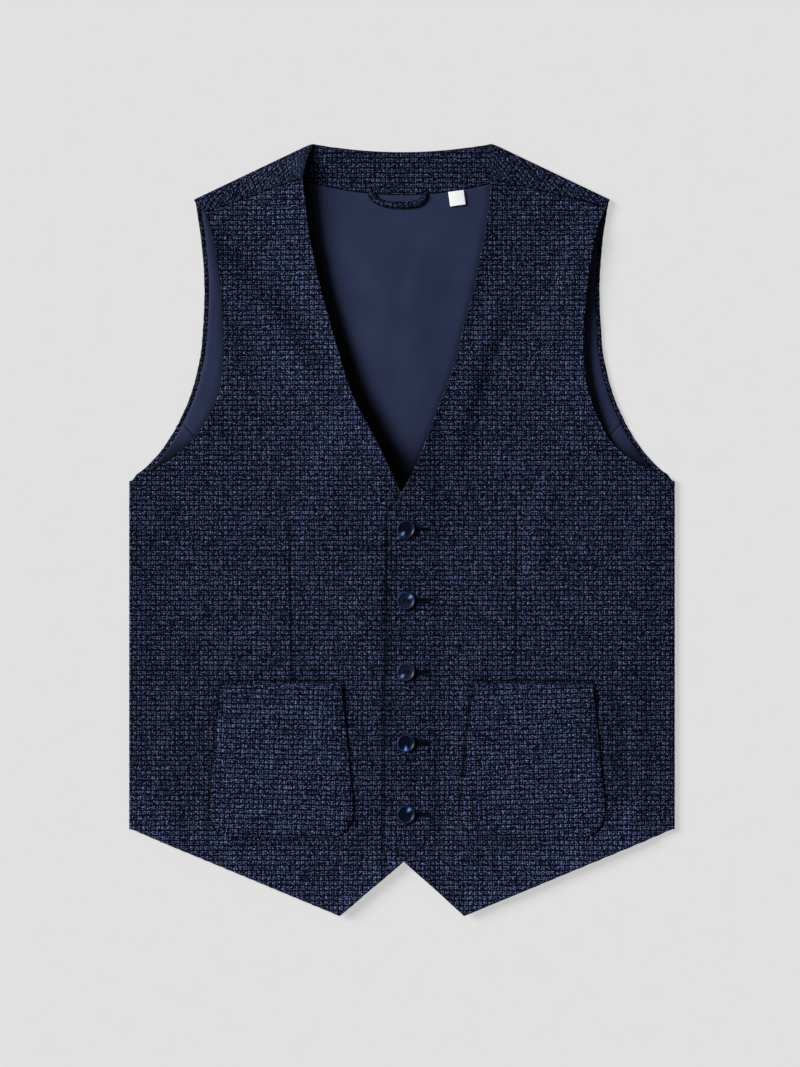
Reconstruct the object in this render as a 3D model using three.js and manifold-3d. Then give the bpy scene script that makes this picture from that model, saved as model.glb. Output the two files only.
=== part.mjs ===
// A five-button suit waistcoat, buttoned up and laid flat on its back.
// Millimetres. +Y points to the collar, +X to the wearer's left and +Z up.
// The origin is on the surface that it lies on, under the middle of its outline.
import * as THREE from "three";
import { mergeVertices } from "three/addons/utils/BufferGeometryUtils.js";
import Module from "manifold-3d";

const wasm = await Module();
wasm.setup();

// Driving sizes of the garment as it lies
const TOP = 340; // the shoulder fold at the neck
const TIP = { across: 54.7, y: -340 }; // the point of each front
const SIDE = { across: 240.3, top: 43, hem: -263 }; // the fold at each side
const SHOULDER = { across: 182.4, y: 291 }; // the outer end of the shoulder fold
const NECK = { across: 79.6, middle: 332.4 }; // the back neck edge between the folds
const NOTCH = { x: 1.9, y: -292 }; // where the two fronts part below the last button
const BACK_HEM = -262;

// Cloth
const SUITING = 1.6; // wool with its interlining
const SATIN = 1.0;
const TAPE = 1.0; // the hanger loop and the label
const GAP = 0.3; // between pieces at a seam and between layers

// Half widths of the neckline and front edge, measured from the middle to each side.
// Below the V the left front laps over the right one, past the middle.
const NECKLINE = [
  { y: 340, right: 79.6, left: 79.6 },
  { y: 325, right: 84.4, left: 78.4 },
  { y: 309, right: 86.2, left: 78.1 },
  { y: 288, right: 84.4, left: 76.9 },
  { y: 263, right: 81.6, left: 73.2 },
  { y: 239, right: 76.6, left: 68.7 },
  { y: 212, right: 70.8, left: 63.4 },
  { y: 184, right: 63.0, left: 55.5 },
  { y: 154, right: 54.2, left: 48.5 },
  { y: 137, right: 49.6, left: 43.1 },
  { y: 115, right: 41.5, left: 34.8 },
  { y: 95, right: 30.9, left: 27.1 },
  { y: 72, right: 18.8, left: 18.6 },
  { y: 52, right: 9.5, left: 9.9 },
  { y: 38, right: 2.7, left: 2.6 },
  { y: 25, right: -3.8, left: -5.0 },
  { y: 12, right: -10.5, left: -10.8 },
  { y: -5, right: -17.5, left: -11.4 },
  { y: -20, right: -20.0, left: -11.6 },
  { y: -150, right: -20.0, left: -13.5 },
  { y: -340, right: -20.0, left: -14.2 },
];

// Half widths of the armholes, of each front and of the back, whose edge shows past them.
const ARMHOLE = [
  { y: 340, right: 182.4, left: 182.4, back: 182.4 },
  { y: 291, right: 182.4, left: 182.4, back: 182.4 },
  { y: 284, right: 177.7, left: 180.0, back: 181.2 },
  { y: 276, right: 171.9, left: 176.6, back: 180.0 },
  { y: 253, right: 165.5, left: 169.6, back: 176.7 },
  { y: 211, right: 159.3, left: 163.4, back: 174.1 },
  { y: 163, right: 157.0, left: 160.4, back: 176.4 },
  { y: 136, right: 158.4, left: 162.2, back: 181.2 },
  { y: 115, right: 162.9, left: 167.0, back: 187.5 },
  { y: 99, right: 170.9, left: 172.8, back: 194.5 },
  { y: 83, right: 181.6, left: 180.6, back: 203.2 },
  { y: 70, right: 194.3, left: 191.5, back: 212.0 },
  { y: 59, right: 208.6, left: 206.5, back: 221.5 },
  { y: 52, right: 222.0, left: 221.5, back: 229.0 },
  { y: 43, right: 240.3, left: 240.3, back: 240.3 },
  { y: -340, right: 240.3, left: 240.3, back: 240.3 },
];

// Half widths of the side seams, which lie under the waistcoat, in from its side folds.
const SIDE_SEAM = [
  { y: 93, half: 197.0 },
  { y: 80, half: 186.5 },
  { y: 60, half: 177.5 },
  { y: 20, half: 172.0 },
  { y: -120, half: 172.0 },
  { y: -263, half: 176.0 },
];
const UNDERARM = SIDE_SEAM[0].y;
const NARROWEST = 200; // where the back is narrowest across the armholes

// The shoulder seam lies in front of the fold: its height at the neck and at the armhole.
const SHOULDER_SEAM = {
  right: { neck: 309, arm: 279 },
  left: { neck: 309, arm: 284 },
};

// Each side: its direction along X and its pocket's middle. The left front lies on the right one.
const SIDES = {
  right: { sign: -1, pocket: 106.4, laps: false },
  left: { sign: 1, pocket: 114.9, laps: true },
};

const POCKET = { top: -135.5, widest: -240, bottom: -271, topHalf: 53.4, bottomHalf: 63.6, corner: 22 };
const DART = { across: 99.5, top: 28, bottom: -137, half: 3, depth: 0.5 };
const BUTTONS = { count: 5, x: 3.5, first: 0.3, pitch: 62.7 };
const BUTTON = { radius: 8, high: 3, edge: 0.8, rim: 1.5, dish: 1.1, hole: 0.85, holeOffset: 1.6 };
const BUTTONHOLE = { from: 4, to: 23.5, wide: 1.2 };
const FACING = { middle: 294.8, rise: 10, spread: 77, half: 112 };
const LOOP = { left: -32, right: 24.2, high: 294.4, low: 283.1, leg: 9.4, strip: 6, bend: 5 };
const LABEL = { x: 48.4, y: 291.6, width: 13.8, height: 13, turn: THREE.MathUtils.degToRad(8) };
const ARMHOLE_RIM = 2.5; // suiting that shows past the lining's edge
const LINING_HEM = -254;

// Heights of the middle of each layer
const BACK_MID = SUITING / 2;
const SATIN_MID = SUITING + GAP + SATIN / 2;
const FACING_MID = SUITING + GAP + SUITING / 2;
const SATIN_TOP = SATIN_MID + SATIN / 2;
const FRONT_MID = SATIN_TOP + GAP + SUITING / 2;
const LAP = SUITING + GAP;
const LAP_OVER = { full: 22, none: 37 }; // where the left front comes down beside the right one

// How far the fronts stand away from the lining
const SHOULDER_RISE = 0.8;
const NECK_LIFT = { high: 3, wide: 45 };
const ARM_LIFT = { high: 1.6, wide: 30 };
const TIP_DROOP = { drop: 1.9, from: -262, to: -318 };

const WOOL = { color: 0x21273a, roughness: 0.95, metalness: 0 };
const LINING = { color: 0x2d344f, roughness: 0.5, metalness: 0 };
const HORN = { color: 0x141c3c, roughness: 0.2, metalness: 0 };
const WHITE = { color: 0xf0f0f2, roughness: 0.8, metalness: 0 };

const lerp = THREE.MathUtils.lerp;
const step = THREE.MathUtils.smoothstep;

// The value of a column at height y, on a smooth curve through the table's rows.
function along(table, y, column) {
  const last = table.length - 1;
  const below = table.findIndex((row) => row.y <= y);
  const i = below < 0 ? last : Math.max(below, 1);
  const [a, b] = [table[i - 1], table[i]];
  const slope = (p, q) => (q[column] - p[column]) / (q.y - p.y);
  const middle = slope(a, b);
  const before = i > 1 ? softer(slope(table[i - 2], a), middle) : middle;
  const after = i < last ? softer(middle, slope(b, table[i + 1])) : middle;
  const span = b.y - a.y;
  const t = THREE.MathUtils.clamp((y - a.y) / span, 0, 1);
  const [t2, t3] = [t * t, t * t * t];
  return (
    (2 * t3 - 3 * t2 + 1) * a[column] +
    (t3 - 2 * t2 + t) * span * before +
    (3 * t2 - 2 * t3) * b[column] +
    (t3 - t2) * span * after
  );
}

// The harmonic mean of two slopes, or flat where the curve turns, so that it never overshoots.
function softer(p, q) {
  return p * q <= 0 ? 0 : (2 * p * q) / (p + q);
}

function evenly(from, to, count) {
  return Array.from({ length: count + 1 }, (_, i) => lerp(from, to, i / count));
}

// The height at which a column of the cloth meets a slanting edge.
function meeting(column, edge, guess) {
  let y = guess;
  for (let pass = 0; pass < 20; pass++) y = edge(column(y));
  return y;
}

// Cloth is drawn as its middle surface, in quads that share corners, and then thickened both ways.
class Cloth {
  constructor(wall) {
    this.half = wall / 2;
    this.points = [];
    this.carved = [];
    this.faces = [];
    this.known = new Map();
  }

  corner(point) {
    const key = point.toArray().map((v) => Math.round(v * 1000)).join();
    if (!this.known.has(key)) {
      this.known.set(key, this.points.length);
      this.points.push(point.clone());
      this.carved.push(point.carved ?? 0);
    }
    return this.known.get(key);
  }

  // Adds the cells between rows of points. Patches join where they share points.
  patch(rows) {
    const grid = rows.map((row) => row.map((p) => this.corner(p)));
    for (let r = 1; r < grid.length; r++) {
      for (let c = 1; c < grid[r].length; c++) {
        const [p, q] = [grid[r - 1], grid[r]];
        this.faces.push([p[c - 1], p[c], q[c], q[c - 1]]);
      }
    }
    return this;
  }

  normals() {
    const sums = this.points.map(() => new THREE.Vector3());
    for (const face of this.faces) {
      const [a, b, c, d] = face.map((i) => this.points[i]);
      const normal = c.clone().sub(a).cross(d.clone().sub(b)).normalize();
      face.forEach((i) => sums[i].add(normal));
    }
    return sums.map((n) => n.normalize());
  }

  // The edges that only one face has, in that face's direction.
  rim() {
    const used = new Set(this.faces.flatMap((f) => f.map((a, k) => `${a},${f[(k + 1) % 4]}`)));
    const edges = [...used].map((edge) => edge.split(",").map(Number));
    return edges.filter(([a, b]) => !used.has(`${b},${a}`));
  }

  geometry() {
    const normals = this.normals();
    const side = (away) =>
      this.points.map((p, i) => p.clone().addScaledVector(normals[i], away(i)));
    const outer = side((i) => this.half - this.carved[i]);
    const inner = side(() => -this.half);
    const count = this.points.length;
    const index = [];
    for (const [a, b, c, d] of this.faces) {
      index.push(a, b, c, a, c, d);
      const [e, f, g, h] = [a, b, c, d].map((i) => i + count);
      index.push(e, g, f, e, h, g);
    }
    for (const [a, b] of this.rim()) {
      index.push(a, a + count, b + count, a, b + count, b);
    }
    const made = new THREE.BufferGeometry();
    made.setFromPoints([...outer, ...inner]);
    made.setIndex(index);
    made.computeVertexNormals();
    return made;
  }
}

const part = new THREE.Group();

function add(name, geometry, look) {
  const mesh = new THREE.Mesh(geometry, new THREE.MeshStandardMaterial(look));
  mesh.name = name;
  part.add(mesh);
  return mesh;
}

// Heights of the hem, the shoulder fold and the shoulder seam at a distance from the middle
function hemY(side, across) {
  const toNotch = (NOTCH.y - TIP.y) / (SIDES[side].sign * NOTCH.x - TIP.across);
  const toSide = (SIDE.hem - TIP.y) / (SIDE.across - TIP.across);
  return TIP.y + (across - TIP.across) * (across < TIP.across ? toNotch : toSide);
}

function foldY(across) {
  const slope = (SHOULDER.y - TOP) / (SHOULDER.across - NECK.across);
  return TOP + (across - NECK.across) * slope;
}

function neckY(across) {
  return NECK.middle + (TOP - NECK.middle) * (across / NECK.across) ** 2;
}

function seamEnds(side) {
  const { neck, arm } = SHOULDER_SEAM[side];
  return {
    neck: { across: along(NECKLINE, neck, side), y: neck },
    arm: { across: along(ARMHOLE, arm, side), y: arm },
  };
}

function seamY(side, across) {
  const { neck, arm } = seamEnds(side);
  const share = (across - neck.across) / (arm.across - neck.across);
  return lerp(neck.y, arm.y, share);
}

// The height of the middle of a front, which its pocket and buttons follow too
function frontMid(side, across, y) {
  const fromNeck = Math.max(across - along(NECKLINE, y, side), 0);
  const fromArm = Math.max(along(ARMHOLE, y, side) - across, 0);
  const nearNeck = Math.max(1 - fromNeck / NECK_LIFT.wide, 0) ** 2;
  const nearArm = Math.max(1 - fromArm / ARM_LIFT.wide, 0) ** 2;
  const neckStretch = step(y, 60, 130) * (1 - step(y, 285, 325));
  const armStretch = step(y, 60, 110) * (1 - step(y, 250, 285));
  const lapped = SIDES[side].laps ? 1 - step(across, LAP_OVER.full, LAP_OVER.none) : 0;
  const droop = step(TIP_DROOP.from - y, 0, TIP_DROOP.from - TIP_DROOP.to);
  return (
    FRONT_MID +
    SHOULDER_RISE * step(y, 230, 290) +
    NECK_LIFT.high * nearNeck * neckStretch +
    ARM_LIFT.high * nearArm * armStretch +
    LAP * lapped -
    TIP_DROOP.drop * droop
  );
}

// A point on a front, with the dart's groove carved in its outer face only.
function frontPoint(side, across, y) {
  const point = new THREE.Vector3(SIDES[side].sign * across, y, frontMid(side, across, y));
  const inDart = Math.max(1 - Math.abs(across - DART.across) / DART.half, 0);
  const onDart = step(y, DART.bottom - 1, DART.bottom) * (1 - step(y, 0, DART.top));
  point.carved = DART.depth * inDart * onDart;
  return point;
}

// A half turn of cloth from the top layer round to the back layer. It starts above centre and
// bulges in the direction outward, in the plan.
function turn(centre, outward, topZ, steps) {
  const radius = (topZ - BACK_MID) / 2;
  return evenly(Math.PI / 2, -Math.PI / 2, steps).map((angle) => {
    const out = radius * Math.cos(angle);
    const z = BACK_MID + radius + radius * Math.sin(angle);
    return new THREE.Vector3(centre.x + outward.x * out, centre.y + outward.y * out, z);
  });
}

function turnRadius(topZ) {
  return (topZ - BACK_MID) / 2 + SUITING / 2;
}

// Columns of a front, by where they cross the waist
const COLUMNS = [
  ...[4, LAP_OVER.full, 29.5, LAP_OVER.none, TIP.across, 76],
  ...[DART.across - DART.half, DART.across, DART.across + DART.half],
  ...[126, 152, 180, 208, 228],
];
const BELOW_WAIST = 14;
const WAIST_TO_UNDERARM = 4;
const CHEST = 16;
const TURN_STEPS = 6;
const STRIP_STEPS = 3;
const FLAP_STEPS = 4;
const WAIST = 0;

const FRONT_FOLD = turnRadius(FRONT_MID);

// Shares of a side's height, from the hem to the underarm, at which its pieces have their rows
const SIDE_ROWS = [
  ...evenly(SIDE.hem, WAIST, BELOW_WAIST),
  ...evenly(WAIST, SIDE.top, WAIST_TO_UNDERARM).slice(1),
].map((y) => (y - SIDE.hem) / (SIDE.top - SIDE.hem));

// The outer end of a front's top layer: the armhole's edge, or the start of the side fold
function frontOuter(side, y) {
  return along(ARMHOLE, y, side) - FRONT_FOLD * (1 - step(y, SIDE.top, SIDE.top + 12));
}

// Distance from the middle at height y of the column that lies at a share of the front's width.
// Below the V the columns run straight up; above it they fan out from the neckline.
function frontColumn(side, share, y) {
  const lowEdge = along(NECKLINE, NOTCH.y, side);
  const power = lerp(4, 1, step(y, 30, 110));
  const lean = (along(NECKLINE, y, side) - lowEdge) * (1 - share) ** power;
  return lerp(lowEdge, frontOuter(side, y), share) + lean;
}

// A grid that runs from the middle to +X keeps its order; its mirror image is turned round, so
// that every patch faces up.
function facingUp(side, rows) {
  return SIDES[side].sign > 0 ? rows : rows.map((points) => points.toReversed());
}

function frontShape(side) {
  const lowEdge = along(NECKLINE, NOTCH.y, side);
  const lowOuter = frontOuter(side, WAIST);
  const across = [lowEdge, ...COLUMNS, lowOuter];
  const shares = across.map((a) => (a - lowEdge) / (lowOuter - lowEdge));
  const columns = shares.map((share) => (y) => frontColumn(side, share, y));
  const ends = columns.map((column) => ({
    low: meeting(column, (a) => hemY(side, a), TIP.y),
    high: meeting(column, (a) => seamY(side, a) - GAP, SHOULDER.y),
  }));
  const row = (height) =>
    columns.map((column, i) => {
      const y = height(ends[i]);
      return frontPoint(side, column(y), y);
    });
  const body = [
    ...evenly(0, 1, BELOW_WAIST).map((t) => row(({ low }) => lerp(low, WAIST, t))),
    ...evenly(WAIST, SIDE.top, WAIST_TO_UNDERARM).slice(1).map((y) => row(() => y)),
  ];
  const chest = evenly(0, 1, CHEST).map((t) => row(({ high }) => lerp(SIDE.top, high, t)));
  const wrapped = body.map((points, r) => [...points, ...wrap(side, points.at(-1), SIDE_ROWS[r])]);
  return new Cloth(SUITING).patch(facingUp(side, wrapped)).patch(facingUp(side, chest)).geometry();
}

// Carries a row of a front round the side fold and under, as far as the side seam. Its share is
// how far up the side the row lies.
function wrap(side, last, share) {
  const { sign } = SIDES[side];
  const start = SIDE.across - FRONT_FOLD;
  const round = turn(last, { x: sign, y: 0 }, last.z, TURN_STEPS).slice(1);
  const strip = evenly(0, 1, STRIP_STEPS).slice(1).map((t) => {
    const inward = (y) => lerp(start, along(SIDE_SEAM, y, "half") + GAP, t);
    const high = t < 1 ? meeting(inward, armholeY, SIDE.top) : UNDERARM;
    const y = lerp(lerp(last.y, BACK_HEM, t), high, share);
    return new THREE.Vector3(sign * inward(y), y, BACK_MID);
  });
  return [...round, ...strip];
}

// The height of the armhole's lower edge on the back at a distance from the middle
function armholeY(across) {
  let [low, high] = [SIDE.top, NARROWEST];
  for (let halving = 0; halving < 30; halving++) {
    const middle = (low + high) / 2;
    if (along(ARMHOLE, middle, "back") > across) low = middle;
    else high = middle;
  }
  return (low + high) / 2;
}

// Half the width of the back, to the side seams and above them to the armholes
function backHalf(y) {
  return y > UNDERARM ? along(ARMHOLE, y, "back") : along(SIDE_SEAM, y, "half");
}

const NECK_COLUMNS = 3;
const SHOULDER_COLUMNS = 4;
const NECK_SHARE = NECK.across / SHOULDER.across;
const FOLD_SLOPE = Math.atan2(TOP - SHOULDER.y, SHOULDER.across - NECK.across);
const FOLD_TOP = FRONT_MID + SHOULDER_RISE;
const FOLD_INSET = turnRadius(FOLD_TOP) / Math.cos(FOLD_SLOPE);

// Shares of a half width that both the neck's end and the shoulder's end lie on
function halfShares() {
  return [
    ...evenly(0, NECK_SHARE, NECK_COLUMNS),
    ...evenly(NECK_SHARE, 1, SHOULDER_COLUMNS).slice(1),
  ];
}

function bothWays(shares) {
  return [...shares.slice(1).map((share) => -share).toReversed(), ...shares];
}

// The top of the back's lower layer: its neck edge, or the start of the shoulder fold
function backTop(across) {
  return across < NECK.across - 0.01 ? neckY(across) : foldY(across) - FOLD_INSET;
}

function sideHeights(hem) {
  return SIDE_ROWS.map((share) => lerp(hem, UNDERARM, share));
}

// One half of the back. The halves meet at the centre seam.
function backShape(side) {
  const { sign } = SIDES[side];
  const columns = halfShares().map((share) => (y) => Math.max(share * backHalf(y), GAP / 2));
  const tops = columns.map((column) => meeting(column, backTop, SHOULDER.y));
  const at = (i, y) => new THREE.Vector3(sign * columns[i](y), y, BACK_MID);
  const low = sideHeights(BACK_HEM).map((y) => columns.map((_, i) => at(i, y)));
  const high = evenly(0, 1, 11).map((t) =>
    columns.map((_, i) => at(i, lerp(UNDERARM, tops[i], t))),
  );
  const cloth = new Cloth(SUITING).patch(facingUp(side, low)).patch(facingUp(side, high));
  return cloth.patch(shoulderFlap(side)).geometry();
}

// The back's cloth where it turns over the shoulder fold and down to the forward shoulder seam
function shoulderFlap(side) {
  const { sign } = SIDES[side];
  const outward = { x: sign * Math.sin(FOLD_SLOPE), y: Math.cos(FOLD_SLOPE) };
  const shares = halfShares().slice(NECK_COLUMNS);
  const strips = shares.map((share) => {
    const startY = meeting((y) => share * backHalf(y), backTop, SHOULDER.y);
    const start = share * backHalf(startY);
    const across = flapColumn(side, (share - NECK_SHARE) / (1 - NECK_SHARE));
    const seam = meeting(across, (a) => seamY(side, a), SHOULDER.y);
    const centre = { x: sign * start, y: startY };
    const round = turn(centre, outward, FOLD_TOP, TURN_STEPS).toReversed();
    const flat = evenly(0, 1, FLAP_STEPS).slice(1).map((t) => {
      const y = lerp(startY, seam, t);
      const shift = (start - across(startY)) * (1 - t);
      return frontPoint(side, across(y) + shift, y);
    });
    return [...round, ...flat];
  });
  const rows = strips[0].map((_, r) => strips.map((strip) => strip[r]));
  return facingUp(side, rows);
}

function flapColumn(side, share) {
  return (y) => lerp(along(NECKLINE, y, side), along(ARMHOLE, y, side), share);
}

// The lining

function facingY(across) {
  return FACING.middle + FACING.rise * (across / FACING.spread) ** 2;
}

function liningSeam(y) {
  return along(SIDE_SEAM, y, "half") - ARMHOLE_RIM;
}

function liningHalf(y) {
  return y > UNDERARM ? along(ARMHOLE, y, "back") - ARMHOLE_RIM : liningSeam(y) - GAP / 2;
}

function backLiningShape() {
  const columns = bothWays(halfShares()).map((share) => (y) => share * liningHalf(y));
  const top = (x) => Math.min(facingY(x), backTop(Math.max(Math.abs(x), NECK.across))) - GAP;
  const tops = columns.map((column) => meeting(column, top, SHOULDER.y));
  const at = (i, y) => new THREE.Vector3(columns[i](y), y, SATIN_MID);
  const low = sideHeights(LINING_HEM).map((y) => columns.map((_, i) => at(i, y)));
  const high = evenly(0, 1, 10).map((t) =>
    columns.map((_, i) => at(i, lerp(UNDERARM, tops[i], t))),
  );
  return new Cloth(SATIN).patch(low).patch(high).geometry();
}

// The satin under the arm, from the lining's seam out to the side fold
function sideLiningShape(side) {
  const { sign } = SIDES[side];
  const outer = SIDE.across - FRONT_FOLD - GAP;
  const diagonal = ARMHOLE_RIM * Math.SQRT1_2;
  const top = (across) => armholeY(across + diagonal) - diagonal;
  const columns = evenly(0, 1, 6).map((share) => (y) =>
    lerp(liningSeam(Math.min(y, UNDERARM)) + GAP / 2, outer, share),
  );
  const tops = columns.map((column, i) => (i ? meeting(column, top, SIDE.top) : UNDERARM));
  const rows = SIDE_ROWS.map((share) =>
    columns.map((column, i) => {
      const y = lerp(LINING_HEM, tops[i], share);
      return new THREE.Vector3(sign * column(y), y, SATIN_MID);
    }),
  );
  return new Cloth(SATIN).patch(facingUp(side, rows)).geometry();
}

function neckFacingShape() {
  const across = bothWays(evenly(0, FACING.half, 8));
  const top = (a) => (a < NECK.across ? neckY(a) : backTop(a) - GAP);
  const rows = evenly(0, 1, 3).map((t) =>
    across.map((x) => {
      const y = lerp(facingY(x), Math.min(top(Math.abs(x)), TOP - FOLD_INSET - GAP), t);
      return new THREE.Vector3(x, y, FACING_MID);
    }),
  );
  return new Cloth(SUITING).patch(rows).geometry();
}

// A strip of cloth bent to a flat U, whose legs go in under the neck facing
function hangerLoopShape() {
  const { low, high, left, right, leg, strip, bend } = LOOP;
  const outline = new THREE.Shape();
  outline.moveTo(left, high);
  outline.lineTo(left, low + bend);
  outline.quadraticCurveTo(left, low, left + bend, low);
  outline.lineTo(right - bend, low);
  outline.quadraticCurveTo(right, low, right, low + bend);
  outline.lineTo(right, high);
  outline.lineTo(right - leg, high);
  outline.quadraticCurveTo(right - leg, low + strip, right - leg - bend / 2, low + strip);
  outline.lineTo(left + leg + bend / 2, low + strip);
  outline.quadraticCurveTo(left + leg, low + strip, left + leg, high);
  outline.closePath();
  const made = new THREE.ExtrudeGeometry(outline, {
    depth: TAPE,
    bevelEnabled: false,
    curveSegments: 5,
  });
  return made.translate(0, 0, SATIN_TOP + GAP);
}

// Half the width of a pocket: it widens downwards and its lower corners are round.
function pocketHalf(y) {
  const { top, widest, bottom, topHalf, bottomHalf, corner } = POCKET;
  const straight = lerp(topHalf, bottomHalf, Math.min((top - y) / (top - widest), 1));
  const short = Math.max(corner - (y - bottom), 0);
  return straight - corner + Math.sqrt(corner ** 2 - short ** 2);
}

function pocketShape(side) {
  const { top, bottom, corner } = POCKET;
  const { pocket } = SIDES[side];
  const round = evenly(0, Math.PI / 2, 6).map((a) => bottom + corner * (1 - Math.cos(a)));
  const heights = [...round, ...evenly(bottom + corner, top, 6).slice(1)];
  const rows = heights.map((y) =>
    evenly(-1, 1, 8).map((share) => frontPoint(side, pocket + share * pocketHalf(y), y)),
  );
  for (const point of rows.flat()) {
    point.z += SUITING + GAP;
    point.carved = 0;
  }
  return new Cloth(SUITING).patch(facingUp(side, rows)).geometry();
}

// Solids for cutting

function solid(geometry) {
  geometry.deleteAttribute("normal");
  geometry.deleteAttribute("uv");
  const merged = mergeVertices(geometry);
  const vertProperties = merged.getAttribute("position").array;
  const triVerts = new Uint32Array(merged.getIndex().array);
  return new wasm.Manifold(new wasm.Mesh({ numProp: 3, vertProperties, triVerts }));
}

function geometryOf(shape) {
  const { vertProperties, triVerts } = shape.getMesh();
  const made = new THREE.BufferGeometry();
  made.setAttribute("position", new THREE.BufferAttribute(vertProperties, 3));
  made.setIndex(new THREE.BufferAttribute(triVerts, 1));
  made.computeVertexNormals();
  return made;
}

function without(geometry, cutters) {
  const rest = cutters.reduce((whole, cutter) => whole.subtract(solid(cutter)), solid(geometry));
  return geometryOf(rest);
}

function buttonYs() {
  return Array.from({ length: BUTTONS.count }, (_, i) => BUTTONS.first - i * BUTTONS.pitch);
}

// The left front's buttonholes, cut across it from under each button
function buttonholes() {
  const { from, to, wide } = BUTTONHOLE;
  return buttonYs().map((y) => {
    const z = frontMid("left", BUTTONS.x, y);
    return new THREE.BoxGeometry(to - from, wide, 3 * SUITING).translate((from + to) / 2, y, z);
  });
}

// A four-hole button with a raised rim and a dished face. Its back is at z = 0.
function buttonShape() {
  const { radius, high, rim, dish, hole, holeOffset, edge } = BUTTON;
  const profile = [
    [0, 0],
    [radius - 2 * edge, 0],
    [radius, 1.4 * edge],
    [radius, high - edge],
    [radius - 0.4 * edge, high - 0.2 * edge],
    [radius - rim / 2, high],
    [radius - rim, high - 0.3 * dish],
    [radius - 1.8 * rim, high - 0.8 * dish],
    [0, high - dish],
  ].map(([r, z]) => new THREE.Vector2(r, z));
  const body = new THREE.LatheGeometry(profile, 20).rotateX(Math.PI / 2);
  const corners = [-1, 1].flatMap((x) => [-1, 1].map((y) => [x * holeOffset, y * holeOffset]));
  const holes = corners.map(([x, y]) =>
    new THREE.CylinderGeometry(hole, hole, 3 * high, 6).rotateX(Math.PI / 2).translate(x, y, 0),
  );
  return without(body, holes);
}

// The garment

for (const side of ["right", "left"]) {
  const { laps } = SIDES[side];
  add(`front_${side}`, laps ? without(frontShape(side), buttonholes()) : frontShape(side), WOOL);
  add(`pocket_${side}`, pocketShape(side), WOOL);
  add(`back_${side}`, backShape(side), WOOL);
  add(`side_lining_${side}`, sideLiningShape(side), LINING);
}
add("back_lining", backLiningShape(), LINING);
add("neck_facing", neckFacingShape(), WOOL);
add("hanger_loop", hangerLoopShape(), WOOL);

const label = add("size_label", new THREE.BoxGeometry(LABEL.width, LABEL.height, TAPE), WHITE);
label.rotation.z = LABEL.turn;
label.position.set(LABEL.x, LABEL.y, SATIN_TOP + GAP + TAPE / 2);

const buttonGeometry = buttonShape();
buttonYs().forEach((y, i) => {
  const button = add(`button_${i + 1}`, buttonGeometry.clone(), HORN);
  const z = frontMid("left", BUTTONS.x, y) + SUITING / 2 + GAP;
  button.position.set(BUTTONS.x, y, z);
});

export default part;
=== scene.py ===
import math
from functools import partial

import bpy
import numpy as np
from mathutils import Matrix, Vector


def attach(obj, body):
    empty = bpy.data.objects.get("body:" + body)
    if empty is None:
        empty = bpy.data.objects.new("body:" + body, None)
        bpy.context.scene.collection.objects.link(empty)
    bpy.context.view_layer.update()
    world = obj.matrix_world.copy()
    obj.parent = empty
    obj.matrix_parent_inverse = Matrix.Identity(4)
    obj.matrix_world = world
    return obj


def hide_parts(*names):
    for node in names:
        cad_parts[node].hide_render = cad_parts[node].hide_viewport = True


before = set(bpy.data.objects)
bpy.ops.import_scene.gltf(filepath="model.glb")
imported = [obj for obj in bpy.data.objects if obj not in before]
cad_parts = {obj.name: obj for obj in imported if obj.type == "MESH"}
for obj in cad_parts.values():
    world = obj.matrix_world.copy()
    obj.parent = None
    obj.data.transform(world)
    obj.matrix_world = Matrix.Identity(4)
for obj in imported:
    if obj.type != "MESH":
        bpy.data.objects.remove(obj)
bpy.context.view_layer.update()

# A suit waistcoat, buttoned up and laid flat on its back. Lengths are in millimetres until the
# meshes are made. +Y points to the collar and +X to the wearer's left.
MM = 0.001
FINE = 1  # coarser grids while the work goes on


def table(names, rows):
    """A short table as named columns."""
    return dict(zip(names.split(), np.array(rows, float).T))


# Driving sizes of the garment as it lies
TOP = 340.0
TIP_ACROSS, TIP_Y = 54.7, -340.0
SIDE_ACROSS, SIDE_TOP, SIDE_HEM = 240.3, 43.0, -263.0
SHOULDER_ACROSS, SHOULDER_Y = 182.4, 291.0
NECK_ACROSS, NECK_MIDDLE = 79.6, 332.4
NOTCH_X, NOTCH_Y = 1.9, -292.0
BACK_HEM, LINING_HEM = -262.0, -254.0

SUITING, SATIN, GAP = 1.6, 1.0, 0.3

# Half widths of the neckline and front edge. Below the V the left front laps past the middle.
NECKLINE = table("y right left", [
    (340, 79.6, 79.6), (325, 84.4, 78.4), (309, 86.2, 78.1), (288, 84.4, 76.9),
    (263, 81.6, 73.2), (239, 76.6, 68.7), (212, 70.8, 63.4), (184, 63.0, 55.5),
    (154, 54.2, 48.5), (137, 49.6, 43.1), (115, 41.5, 34.8), (95, 30.9, 27.1),
    (72, 18.8, 18.6), (52, 9.5, 9.9), (38, 2.7, 2.6), (25, -3.8, -5.0),
    (12, -10.5, -10.8), (-5, -17.5, -11.4), (-20, -20.0, -11.6), (-150, -20.0, -13.5),
    (-340, -20.0, -14.2),
])
# Half widths of the armholes, of each front and of the back
ARMHOLE = table("y right left back", [
    (340, 182.4, 182.4, 182.4), (291, 182.4, 182.4, 182.4), (284, 177.7, 180.0, 181.2),
    (276, 171.9, 176.6, 180.0), (253, 165.5, 169.6, 176.7), (211, 159.3, 163.4, 174.1),
    (163, 157.0, 160.4, 176.4), (136, 158.4, 162.2, 181.2), (115, 162.9, 167.0, 187.5),
    (99, 170.9, 172.8, 194.5), (83, 181.6, 180.6, 203.2), (70, 194.3, 191.5, 212.0),
    (59, 208.6, 206.5, 221.5), (52, 222.0, 221.5, 229.0), (43, 240.3, 240.3, 240.3),
    (-340, 240.3, 240.3, 240.3),
])
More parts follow.
